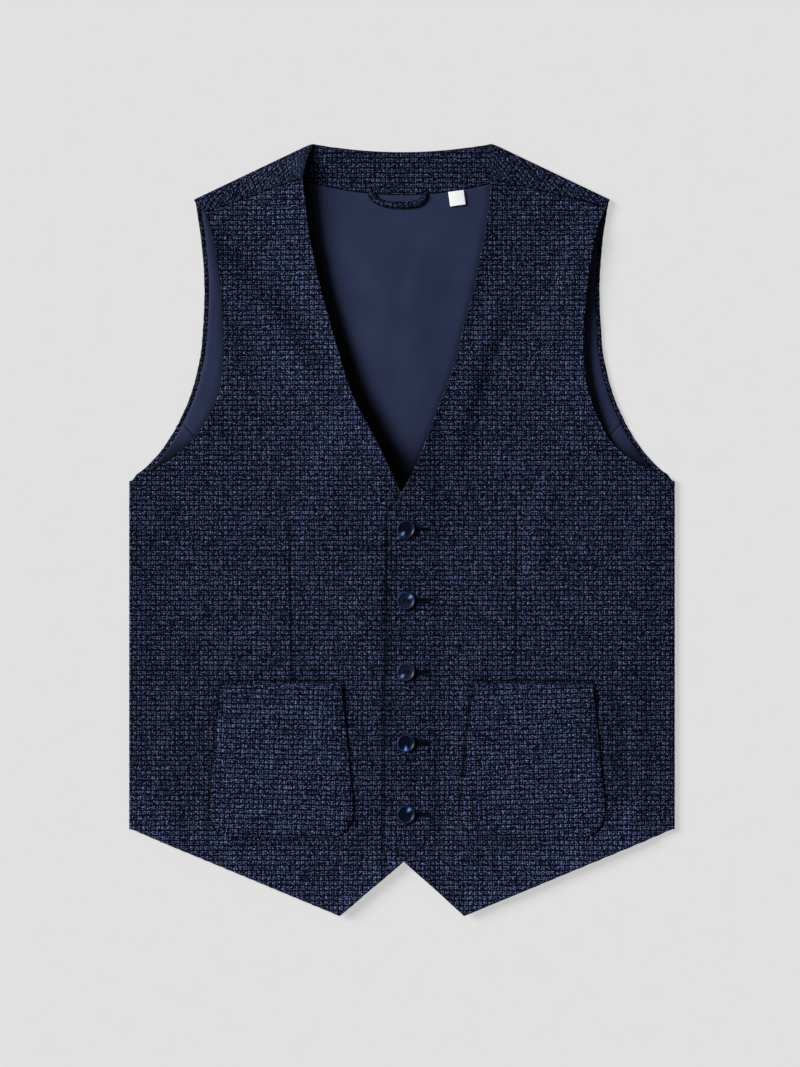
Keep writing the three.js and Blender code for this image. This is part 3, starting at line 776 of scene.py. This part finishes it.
def facing_shade(points, normals):
    """Painted shade: darker all over, and a painted shadow towards the wearer's right, under the
    lifted front.
    """
    from_edge = np.maximum(points[:, 0] + neckline["right"](points[:, 1]), 0)
    return 0.8 - 0.6 * bell(from_edge, 8)


# Pockets


def pocket_half(y):
    low_share = np.minimum((POCKET_TOP - y) / (POCKET_TOP - POCKET_WIDEST), 1)
    straight = mix(POCKET_HALF_TOP, POCKET_HALF_BOTTOM, low_share)
    short = np.maximum(POCKET_CORNER - (y - POCKET_BOTTOM), 0)
    return straight - POCKET_CORNER + np.sqrt(np.maximum(POCKET_CORNER**2 - short**2, 0))


def pocket_mesh(side):
    """A patch that lies on its front and stands away from it a little at the mouth."""
    turns = np.linspace(0, math.pi / 2, 20 // FINE)
    corner = POCKET_BOTTOM + POCKET_CORNER * (1 - np.cos(turns))
    straight = np.linspace(corner[-1], POCKET_TOP, 70 // FINE)[1:]
    y = np.concatenate([corner, straight])
    shares = np.sin(np.linspace(-1, 1, 64 // FINE) * math.pi / 2)
    across = POCKET_MIDDLE[side] + shares * pocket_half(y)[:, None]
    y = np.tile(y[:, None], (1, len(shares)))
    inset = np.minimum(pocket_half(y) * (1 - np.abs(shares)), y - POCKET_BOTTOM)
    full = step(inset, 0, 16)
    mouth = step(y, POCKET_TOP - 45, POCKET_TOP)
    lift = full * (0.35 + 0.7 * mouth) + 0.3 * mouth
    x = SIGN[side] * across
    pressed = 0.9 * fall(inset, 0, 5) * (1 - mouth)
    z = front_mid(side, across, y) + SUITING + GAP + lift - pressed
    z = z + 0.25 * full * ripple(x, y, 40, 9)
    u, v = turned(x, y, -1.2 * SIGN[side])
    return Cloth().patch(stacked(x, y, z), stacked(u + 1.9, v + 1.2), side=side)


def pocket_inset(side, points):
    """How far points lie in from the sewn edge."""
    across, y = seen(side, points)
    return np.minimum(pocket_half(y) - np.abs(across - POCKET_MIDDLE[side]), y - POCKET_BOTTOM)


def pocket_shade(side, points, normals):
    """Painted shade darkens its sewn edge all round, and its face is made a little paler."""
    return 1.2 - 0.8 * bell(pocket_inset(side, points), 1.3)


def pocket_relief(side, points, normals):
    """A turned edge all round, with the line of its stitches pressed in beside it."""
    inset, from_top = pocket_inset(side, points), POCKET_TOP - points[:, 1]
    edge = 0.25 * bell(inset, 2.0) + seam_pinch(inset - 4.5, 1.8, 0.16)
    hem = seam_pinch(from_top - 24, 1.6, 0.12) + 0.2 * bell(from_top, 2.2)
    return np.where(normals[:, 2] > 0.5, edge + hem, 0.0)


# Materials


class Graph:
    """A material's nodes, with short calls for the ones that are used most."""

    def __init__(self, name):
        self.material = bpy.data.materials.new(name)
        self.material.use_nodes = True
        self.tree = self.material.node_tree
        self.shader = self.tree.nodes["Principled BSDF"]

    def add(self, kind, inputs=(), **settings):
        node = self.tree.nodes.new("ShaderNode" + kind)
        for key, value in settings.items():
            setattr(node, key, value)
        for key, value in dict(inputs).items():
            self.put(node.inputs[key], value)
        return node

    def put(self, socket, value):
        if isinstance(value, bpy.types.NodeSocket):
            self.tree.links.new(value, socket)
        else:
            socket.default_value = value

    def math(self, operation, a, b=0.0, c=0.0):
        node = self.add("Math", operation=operation)
        for socket, value in zip(node.inputs, (a, b, c)):
            self.put(socket, value)
        return node.outputs[0]

    def times(self, a, b):
        return self.math("MULTIPLY", a, b)

    def weave_place(self):
        return self.add("UVMap", uv_map="weave").outputs["UV"]

    def noise(self, vector, scale, detail=2.0, roughness=0.5):
        values = {"Vector": vector, "Scale": scale, "Detail": detail, "Roughness": roughness}
        return self.add("TexNoise", values).outputs["Fac"]

    def ramp(self, value, stops):
        node = self.add("ValToRGB", {"Fac": value})
        points = node.color_ramp.elements
        while len(points) < len(stops):
            points.new(0.5)
        for point, (position, colour) in zip(points, stops):
            point.position, point.color = position, (*colour, 1.0)
        return node.outputs["Color"]

    def shaded(self, colour):
        """The colour made lighter or darker by the painted light and shade that the mesh holds as its
        shade.
        """
        shade = self.add("Attribute", attribute_name="shade").outputs["Fac"]
        return self.add("VectorMath", {0: colour, "Scale": shade}, operation="SCALE").outputs[0]

    def set(self, **values):
        for key, value in values.items():
            self.put(self.shader.inputs[key.replace("_", " ")], value)


def tone(red, green, blue):
    """A colour from its screen values, 0 to 255."""
    parts = [v / 255 for v in (red, green, blue)]
    return tuple(v / 12.92 if v < 0.0405 else ((v + 0.055) / 1.055) ** 2.4 for v in parts)


def wool_material():
    """Navy hopsack: flecked blocks parted by dark lines, the level ones a little clearer."""
    g = Graph("wool")
    uv = g.weave_place()
    drift = g.add("TexNoise", {"Vector": uv, "Scale": 0.35, "Detail": 2.0})
    moved = {0: drift.outputs["Color"], 1: (0.32, 0.32, 0.0), 2: uv}
    shift = g.add("VectorMath", moved, operation="MULTIPLY_ADD")
    parts = g.add("SeparateXYZ", {"Vector": shift.outputs[0]})
    u, v = g.times(parts.outputs["X"], 1.04), parts.outputs["Y"]

    def bumps(value):
        wave = g.math("ABSOLUTE", g.math("SINE", g.times(value, math.pi)))
        return g.math("POWER", wave, 1.3)

    def streaks(scale, seed):
        stretch = g.add("Mapping", {"Vector": uv, "Scale": scale, "Location": seed})
        return g.noise(stretch.outputs["Vector"], 1.0, 2.0, 0.6)

    row, column = bumps(v), bumps(u)
    doubled = g.times(v, 2.0), g.times(u, 2.0)
    thread_row, thread_column = map(bumps, doubled)
    fibres = g.add("TexVoronoi", {"Vector": uv, "Scale": 7.2, "Randomness": 1.0})
    fleck = g.add("SeparateColor", {"Color": fibres.outputs["Color"]})
    terms = [
        (row, 0.54), (column, 0.30), (thread_row, 0.42), (thread_column, 0.37),
        (fleck.outputs["Red"], 1.75), (g.noise(uv, 0.11, 3.0), 0.10),
        (streaks((0.3, 2.0, 1.0), (3.0, 0.0, 0.0)), 0.08),
        (streaks((2.0, 0.3, 1.0), (0.0, 5.0, 0.0)), 0.06),
    ]
    light = -1.862
    for value, weight in terms:
        light = g.math("MULTIPLY_ADD", value, weight, light)
    dark_blue = g.ramp(light, [
        (0.0, tone(1, 3, 12)), (0.3, tone(7, 13, 33)), (0.55, tone(24, 32, 57)),
        (0.8, tone(56, 69, 100)), (1.0, tone(106, 123, 156)),
    ])
    violet = g.ramp(light, [
        (0.0, tone(3, 3, 14)), (0.3, tone(9, 13, 38)), (0.55, tone(29, 34, 66)),
        (0.8, tone(62, 71, 109)), (1.0, tone(112, 124, 164)),
    ])
    hue = g.math("MULTIPLY_ADD", g.noise(uv, 1.4, 2.0), 2.4, -0.7)
    mixed = g.add("Mix", {"Factor": hue, 6: dark_blue, 7: violet}, data_type="RGBA")
    block = g.times(row, column)
    height = g.math("MULTIPLY_ADD", fleck.outputs["Red"], 0.45, block)
    bump = g.add("Bump", {"Strength": 0.55, "Distance": 0.0006, "Height": height})
    colour = g.shaded(mixed.outputs[2])
    g.set(Base_Color=colour, Roughness=0.95, Normal=bump.outputs["Normal"])
    g.set(Specular_IOR_Level=0.06)
    return g.material


def satin_material():
    """Smooth navy satin with very fine threads and a faint sheen."""
    g = Graph("satin")
    uv = g.weave_place()
    stretch = g.add("Mapping", {"Vector": uv, "Scale": (9.0, 1.2, 1.0)})
    threads = g.noise(stretch.outputs["Vector"], 3.0, 3.0, 0.6)
    cloud = g.noise(uv, 0.10, 2.0)
    tone_value = g.math("ADD", g.times(threads, 0.22), g.times(cloud, 0.6))
    colour = g.ramp(tone_value, [(0.15, tone(36, 42, 67)), (0.60, tone(46, 53, 81))])
    bump = g.add("Bump", {"Strength": 0.25, "Distance": 0.0001, "Height": threads})
    g.set(Base_Color=g.shaded(colour), Roughness=0.42, Normal=bump.outputs["Normal"])
    g.set(Specular_IOR_Level=0.09)
    return g.material


def button_material(name, face):
    """A polished face with a painted highlight round its rim, and a painted reflection: one paler
    wedge that the button's own uv turns.
    """
    g = Graph(name)
    uv = g.weave_place()
    parts = g.add("SeparateXYZ", {"Vector": uv})
    u, v = parts.outputs["X"], parts.outputs["Y"]
    radius = g.math("SQRT", g.math("ADD", g.times(u, u), g.times(v, v)))
    # Painted reflection: a pale wedge off the button's middle
    off = g.math("DIVIDE", g.math("SUBTRACT", u, 0.61), 0.31)
    side = g.math("DIVIDE", v, g.math("MULTIPLY_ADD", u, 0.26, 0.03))
    far = g.math("ADD", g.times(off, off), g.times(side, side))
    wedge = g.math("EXPONENT", g.times(far, -1.0))
    wedge = g.times(wedge, g.math("MULTIPLY_ADD", g.noise(uv, 4.0, 3.0), 1.0, 0.4))
    # Painted highlight round the rim, uneven along it
    ring = g.math("DIVIDE", g.math("SUBTRACT", radius, 0.90), 0.05)
    ring = g.math("EXPONENT", g.times(g.times(ring, ring), -1.0))
    around = g.math("MULTIPLY_ADD", g.noise(uv, 0.8), 1.1, -0.28)
    light = g.math("MAXIMUM", wedge, g.times(ring, around))
    colour = g.ramp(light, [(0.0, face), (0.4, tone(40, 62, 104)), (0.95, tone(128, 164, 214))])
    g.set(Base_Color=colour, Roughness=0.30, Specular_IOR_Level=0.20)
    return g.material


def thread_material():
    g = Graph("thread")
    place = g.add("TexCoord").outputs["Object"]
    fibres = g.noise(place, 1800.0, 2.0)
    colour = g.ramp(fibres, [(0.3, tone(2, 6, 18)), (0.7, tone(12, 19, 38))])
    g.set(Base_Color=colour, Roughness=0.9, Specular_IOR_Level=0.05)
    return g.material


def label_material():
    """White woven tape."""
    g = Graph("label")
    uv = g.weave_place()
    wave = g.add("TexWave", {"Vector": uv, "Scale": 5.0, "Distortion": 0.6})
    colour = g.ramp(wave.outputs["Fac"], [(0.0, (0.88, 0.89, 0.91)), (1.0, (0.96, 0.96, 0.97))])
    ribs = {"Strength": 0.3, "Distance": 0.0001, "Height": wave.outputs["Fac"]}
    bump = g.add("Bump", ribs)
    g.set(Base_Color=colour, Roughness=0.75, Normal=bump.outputs["Normal"])
    return g.material


WOOL, SATIN_LOOK = wool_material(), satin_material()
BUTTON_LOOKS = {
    "deep": button_material("button_deep", tone(2, 9, 30)),
    "grey": button_material("button_grey", tone(20, 26, 44)),
}
LABEL_LOOK = label_material()
THREAD = thread_material()


def finish_piece(piece, look, slot, *nodes):
    """Gives a piece its material, and lets it ride and stand for its nodes."""
    piece.data.materials.append(look)
    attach(piece, "root")
    if nodes:
        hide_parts(*nodes)


# Threads and trims


def ring_faces(rings, sides, start=0):
    """Quads that join each ring of points to the next."""
    faces = []
    for k in range(rings - 1):
        for s in range(sides):
            a, b = start + k * sides + s, start + k * sides + (s + 1) % sides
            faces.append((a, b, b + sides, a + sides))
    return faces


def tube(path, radius, sides=6):
    """Points and faces of a closed tube along a path."""
    path = np.asarray(path, float)
    ahead = unit(np.gradient(path, axis=0))
    across = np.cross(ahead, (0.0, 0.0, 1.0))
    size = np.linalg.norm(across, axis=1, keepdims=True)
    across = np.where(size < 1e-3, (1.0, 0.0, 0.0), across / np.maximum(size, 1e-3))
    up = np.cross(across, ahead)
    angles = (np.arange(sides) * math.tau / sides)[:, None]
    ring = across[:, None] * np.cos(angles) + up[:, None] * np.sin(angles)
    points = (path[:, None] + ring * radius).reshape(-1, 3)
    ends = [tuple(range(sides))[::-1], tuple(range(len(points) - sides, len(points)))]
    return points, ring_faces(len(path), sides) + ends


def join_parts(name, parts):
    """One mesh object from several (points, faces)."""
    faces, count = [], 0
    for part_points, part_faces in parts:
        faces += [tuple(i + count for i in face) for face in part_faces]
        count += len(part_points)
    points = np.concatenate([part[0] for part in parts])
    return make_mesh(name, points, faces, points[:, :2] / WEAVE)


def cut_out(made, cutter, solver):
    """Takes the cutter's form out of an object, and then the cutter away."""
    modifier = made.modifiers.new("cut", "BOOLEAN")
    modifier.operation, modifier.object, modifier.solver = "DIFFERENCE", cutter, solver
    graph = bpy.context.evaluated_depsgraph_get()
    cut = bpy.data.meshes.new_from_object(made.evaluated_get(graph))
    made.modifiers.clear()
    made.data = cut
    bpy.data.objects.remove(cutter)


def front_face_z(x, y, creased=True):
    """The height of the left front's outer face at one point."""
    return float(front_mid("left", np.array([x]), np.array([y]), creased)[0]) + SUITING / 2


# The stitches of a buttonhole: those under the button are left out
STITCH_RADIUS, STITCH_PITCH, STITCH_FROM = 0.28, 0.55, HOLE_FROM + 6.5
LIP_INNER, LIP_OUTER, BAR_HALF, BAR_PITCH = 0.30, 1.75, 1.5, 0.32


def stitch(a, b, rise):
    """A short thread from a to b that bows up in the middle."""
    t = np.linspace(0, 1, 5)[:, None]
    path = mix(np.array(a, float), np.array(b, float), t)
    path[:, 2] += rise * np.sin(t[:, 0] * math.pi)
    return tube(path, STITCH_RADIUS, 5)


def buttonhole_threads(number, y):
    """Close stitches over both lips of a buttonhole, and a bar at its outer end."""
    rng = np.random.default_rng(100 + number)
    parts = []
    for x in np.arange(STITCH_FROM, HOLE_TO, STITCH_PITCH):
        top = front_face_z(x, y)
        for way in (-1, 1):
            inner = y + way * LIP_INNER
            outer = y + way * (LIP_OUTER + rng.uniform(-0.15, 0.15))
            lean = rng.uniform(-0.12, 0.12)
            parts.append(stitch((x, inner, top - 0.1), (x + lean, outer, top), 0.28))
    top = front_face_z(HOLE_TO, y)
    for k in range(4):
        x = HOLE_TO + 0.15 + BAR_PITCH * k
        parts.append(stitch((x, y - BAR_HALF, top), (x, y + BAR_HALF, top), 0.3))
    return join_parts(f"buttonhole_thread_{number}", parts)


def cut_buttonholes(front):
    """Cuts the five slits through the left front."""
    low, high = FRONT_MID - 1.5, FRONT_MID + LAP + 4
    box = [(0, 1, 3, 2), (4, 6, 7, 5), (0, 2, 6, 4), (1, 5, 7, 3), (0, 4, 5, 1), (2, 3, 7, 6)]
    parts = []
    for y in BUTTON_YS:
        corners = [
            (x, y + s * HOLE_WIDE / 2, z)
            for z in (low, high) for x in (HOLE_FROM, HOLE_TO) for s in (-1, 1)
        ]
        parts.append((np.array(corners), box))
    cut_out(front, join_parts("cutter", parts), "FAST")


# A button's section from its back's middle to its face's middle: radius and height
BUTTON_SECTION = [
    (0.0, 0.0), (4.5, 0.0), (6.2, 0.15), (7.3, 0.75), (7.85, 1.4), (8.0, 1.9), (7.95, 2.35),
    (7.75, 2.75), (7.45, 2.97), (7.1, 3.0), (6.8, 2.9), (6.55, 2.65), (6.2, 2.35), (5.6, 2.15),
    (4.5, 2.02), (3.0, 1.95), (1.5, 1.92), (0.0, 1.92),
]
BUTTON_HOLE, BUTTON_HOLE_OFFSET = 0.9, 1.6
BUTTON_FACE = 1.95  # the height of the dished face between the holes
# A thread's way up one hole and down the other: along the button, and above its face
BUTTON_STITCH = [
    (-1.6, -1.6), (-1.6, -0.3), (-1.45, 0.25), (-0.8, 0.38), (0.0, 0.42),
    (0.8, 0.38), (1.45, 0.25), (1.6, -0.3), (1.6, -1.6),
]
# Each button's pale wedge is a painted reflection
BUTTON_TURNS = [235, 40, 230, 268, 58]  # the way each button's pale wedge points
BUTTON_FACES = ["deep", "grey", "grey", "deep", "deep"]
BUTTON_THREAD, BUTTON_STRANDS = 0.27, (-0.28, 0.28)  # radius, and the two threads of a pair


def button_mesh(number, y):
    """A lathe-turned button with four holes."""
    around = 56
    angles = np.arange(around) * math.tau / around
    rings = BUTTON_SECTION[1:-1]
    points = [(0.0, 0.0, 0.0)]
    for radius, z in rings:
        points += [(radius * math.cos(a), radius * math.sin(a), z) for a in angles]
    points.append((0.0, 0.0, BUTTON_SECTION[-1][1]))
    top = len(points) - 1
    quads = ring_faces(len(rings), around, 1)
    faces = []
    for s in range(around):
        t = (s + 1) % around
        faces += [(0, 1 + t, 1 + s), *quads[s::around], (top - around + s, top - around + t, top)]
    points = np.array(points)
    uvs = stacked(*turned(points[:, 0], points[:, 1], -BUTTON_TURNS[number - 1])) / BUTTON_RADIUS
    points += (BUTTON_X, y, front_face_z(BUTTON_X, y, False) + GAP)
    made = make_mesh(f"button_{number}_turned", points, faces, uvs)
    drill_button(made, y, points[0, 2])
    return made


def drill_button(button, y, base):
    """Cuts the four thread holes."""
    parts = []
    for dx in (-1, 1):
        for dy in (-1, 1):
            x = BUTTON_X + dx * BUTTON_HOLE_OFFSET
            path = [(x, y + dy * BUTTON_HOLE_OFFSET, base + z) for z in (-1.0, BUTTON_HIGH + 1)]
            parts.append(tube(path, BUTTON_HOLE, 16))
    cut_out(button, join_parts("drill", parts), "EXACT")


def button_threads(number, y):
    """Two pairs of threads, up through one hole and down through the next."""
    face = front_face_z(BUTTON_X, y, False) + GAP + BUTTON_FACE
    parts = []
    for side in (-1, 1):
        for strand in BUTTON_STRANDS:
            x = BUTTON_X + side * BUTTON_HOLE_OFFSET + strand
            path = [(x, y + along, up + face) for along, up in BUTTON_STITCH]
            parts.append(tube(path, BUTTON_THREAD))
    return join_parts(f"button_{number}_thread", parts)


# The loop's middle line below the neck facing
LOOP_PATH = [
    (-28.0, 299.0), (-26.6, 294.5), (-22.5, 289.6), (-14.5, 286.8), (-4.0, 285.7),
    (7.0, 285.9), (14.5, 287.8), (18.8, 291.8), (19.8, 299.0),
]
LOOP_WIDTH, LOOP_THICK = 6.0, 1.7
LOOP_LIFT, LOOP_DIP, LOOP_SQUEEZE = 0.6, 1.2, 0.45  # off the satin, and under the facing
LOOP_RING = 1.55  # the length of a ring


def smooth_path(points, count):
    """A spline through the points, at even steps of their numbering."""
    points = np.array(points, float)
    padded = np.concatenate([2 * points[:1] - points[1:2], points, 2 * points[-1:] - points[-2:-1]])
    out = []
    for t in np.linspace(0, len(points) - 1, count):
        i = min(int(t), len(points) - 2)
        f = t - i
        a, b, c, d = padded[i:i + 4]
        bent = (2 * a - 5 * b + 4 * c - d) * f * f + (3 * b - a - 3 * c + d) * f**3
        out.append(0.5 * (2 * b + (c - a) * f + bent))
    return np.array(out)


def hanger_loop():
    """A flat tube of suiting, whose legs go in under the facing."""
    path = smooth_path(LOOP_PATH, 56)
    edge = facing_y(path[:, 0])
    under = step(path[:, 1], edge - 1.5, edge + 1.5)
    z = SATIN_TOP + GAP + LOOP_LIFT + LOOP_THICK / 2 - LOOP_DIP * under
    ahead = unit(np.gradient(path, axis=0))
    side = stacked(ahead[:, 1], -ahead[:, 0])
    angles = np.linspace(0, math.tau, 21)[:-1]
    c, s = np.cos(angles), np.sin(angles)
    across = np.sign(c) * np.abs(c) ** 0.6 * LOOP_WIDTH / 2
    up = np.sign(s) * np.abs(s) ** 0.8 * LOOP_THICK / 2
    rings, sides = len(path), len(angles)
    points = np.empty((rings, sides, 3))
    points[..., :2] = path[:, None] + side[:, None] * across[:, None]
    points[..., 2] = z[:, None] + up * (1 - LOOP_SQUEEZE * under)[:, None]
    u, v = np.meshgrid(across / WEAVE + 0.3, np.arange(rings) * LOOP_RING / WEAVE)
    faces = [(a, d, c, b) for a, b, c, d in ring_faces(rings, sides)]
    faces += [tuple(range(sides)), tuple(range((rings - 1) * sides, rings * sides))[::-1]]
    points, uvs = points.reshape(-1, 3), stacked(u, v).reshape(-1, 2)
    return make_mesh("hanger_loop_strip", points, faces, uvs, np.full(len(points), 0.72))


LABEL_X, LABEL_Y, LABEL_WIDTH, LABEL_HEIGHT, LABEL_TURN = 48.4, 291.6, 13.8, 13.0, 8.0
LABEL_THICK, LABEL_LIFT = 0.5, 0.9


def size_label():
    """A bare woven label, raised a little at its lower edge and a little bowed."""
    u, v = np.meshgrid(np.linspace(-0.5, 0.5, 15), np.linspace(-0.5, 0.5, 15))
    a, b = u * LABEL_WIDTH, v * LABEL_HEIGHT
    x, y = turned(a, b, LABEL_TURN)
    z = SATIN_TOP + GAP + LABEL_LIFT + 0.3 * (0.5 - v) + 0.25 * np.cos(u * math.pi)
    return Cloth().patch(stacked(LABEL_X + x, LABEL_Y + y, z), stacked(a, b))


# Mean place of a side seam, and mean height of what turns under at the side
SIDE_SEAM_MEAN, UNDERARM_MEAN = 174.0, SIDE_TOP + 20


def front_area(side):
    """The flat area of a front in square metres: skirt, chest and what turns under."""
    across = np.linspace(float(neckline[side](NOTCH_Y)), SIDE_ACROSS, 500)
    skirt = np.trapz(-hem_y(side, across), across)
    y = np.linspace(TIP_Y, SHOULDER_SEAM[side][0], 800)
    y = y[y > 0]
    chest = np.trapz(armhole[side](y) - neckline[side](y), y)
    under = (SIDE_ACROSS - SIDE_SEAM_MEAN) * (UNDERARM_MEAN - SIDE_HEM)
    return round(float(skirt + chest + under) * MM * MM, 4)


CLOTHS = {"cloth": (WOOL, "wool", SUITING), "satin": (SATIN_LOOK, "satin", SATIN)}
YARN = 0.25  # how far the yarns push a front's and a pocket's edge


def lay(node, kind, cloth, flat, relief=None, shade=None, ragged=0.0, cut=None, **told):
    """One laid piece of cloth, which stands for its node."""
    look, slot, thick = CLOTHS[kind]
    piece = cloth.shell(f"{node}_{kind}", thick / 2, relief, shade, ragged)
    if cut:
        cut(piece)
    finish_piece(piece, look, slot, node)


def build_side(side):
    """One front with its pocket, the lining under its arm, and half of the back."""
    front, slits = f"front_{side}", cut_buttonholes if side == "left" else None
    faces = partial(front_relief, side), partial(front_shade, side), YARN
    lay(front, "cloth", front_mesh(side), (0.325, 0.65), *faces, cut=slits,
        rests_on=["back_lining"], area=front_area(side))
    faces = partial(pocket_relief, side), partial(pocket_shade, side), YARN
    lay(f"pocket_{side}", "cloth", pocket_mesh(side), (0.128, 0.136), *faces,
        rests_on=[front], area=0.0158)
    lay(f"side_lining_{side}", "satin", side_lining_mesh(side), (0.068, 0.347),
        shade=satin_shade, rests_on=[front], area=0.0205)
    lay(f"back_{side}", "cloth", back_mesh(side), (0.20, 0.64), back_relief, back_shade, 0.2,
        area=0.112)


def build_neck():
    """The lining of the back, and what is sewn to it inside the neck."""
    backs = ["back_right", "back_left"]
    lay("back_lining", "satin", back_lining_mesh(), (0.39, 0.572), shade=satin_shade,
        rests_on=backs, area=0.193)
    lay("neck_facing", "cloth", neck_facing_mesh(), (0.224, 0.042), shade=facing_shade,
        rests_on=backs, area=0.0069)
    finish_piece(hanger_loop(), WOOL, "wool", "hanger_loop")
    label = size_label().shell("size_label_tape", LABEL_THICK / 2)
    finish_piece(label, LABEL_LOOK, "label", "size_label")


def build_buttons():
    for number, y in enumerate(BUTTON_YS, 1):
        look = BUTTON_LOOKS[BUTTON_FACES[number - 1]]
        finish_piece(button_mesh(number, y), look, "button", f"button_{number}")
        finish_piece(button_threads(number, y), THREAD, "wool")
        finish_piece(buttonhole_threads(number, y), THREAD, "wool")


# The stage

WHITE = (1.0, 1.0, 1.0, 1.0)
LIGHT_TRAVELS = (1.0, -0.38, -0.70)


def floor_material():
    g = Graph("floor")
    grain = g.noise(g.add("TexCoord").outputs["Object"], 40.0, 3.0)
    g.set(Base_Color=g.ramp(grain, [(0.3, (0.238,) * 3), (0.7, (0.242,) * 3)]))
    # A little light of its own keeps the shadows on it as pale as on a lit table.
    g.set(Roughness=0.9, Specular_IOR_Level=0.1, Emission_Strength=0.523, Emission_Color=WHITE)
    return g.material


def set_floor():
    far, low = 30000.0, -0.2  # just below the cloth, so that the two never share a plane
    corners = [(-far, -far, low), (far, -far, low), (far, far, low), (-far, far, low)]
    floor = make_mesh("floor", corners, [(0, 1, 2, 3)])
    floor.data.materials.append(floor_material())


def set_light():
    """A pale room and a broad light from the upper left."""
    scene = bpy.context.scene
    scene.world = bpy.data.worlds.new("studio")
    scene.world.use_nodes = True
    background = scene.world.node_tree.nodes["Background"]
    background.inputs["Color"].default_value = WHITE
    background.inputs["Strength"].default_value = 0.11
    scene.view_settings.view_transform = "Standard"
    scene.view_settings.look = "None"

    light = bpy.data.lights.new("key", "SUN")
    light.energy, light.angle = 4.8, math.radians(30)
    key = bpy.data.objects.new("key", light)
    key.rotation_mode = "QUATERNION"
    key.rotation_quaternion = Vector(LIGHT_TRAVELS).to_track_quat("-Z", "Y")
    scene.collection.objects.link(key)


def set_camera():
    """Straight above, through a long lens. The frame is 704 by 939 mm at the cloth."""
    frame_long, away, cloth_z, sensor = 939.0, 3000.0, 5.0, 36.0
    camera = bpy.data.cameras.new("camera")
    camera.sensor_width, camera.lens = sensor, sensor * away / frame_long
    camera.clip_start, camera.clip_end = 0.1, 200.0
    made = bpy.data.objects.new("camera", camera)
    made.location = (-1.76 * MM, -3.5 * MM, (away + cloth_z) * MM)
    bpy.context.scene.collection.objects.link(made)
    bpy.context.scene.camera = made


set_camera()
set_floor()
set_light()
for side in SIDES:
    build_side(side)
build_neck()
build_buttons()

bpy.context.view_layer.update()
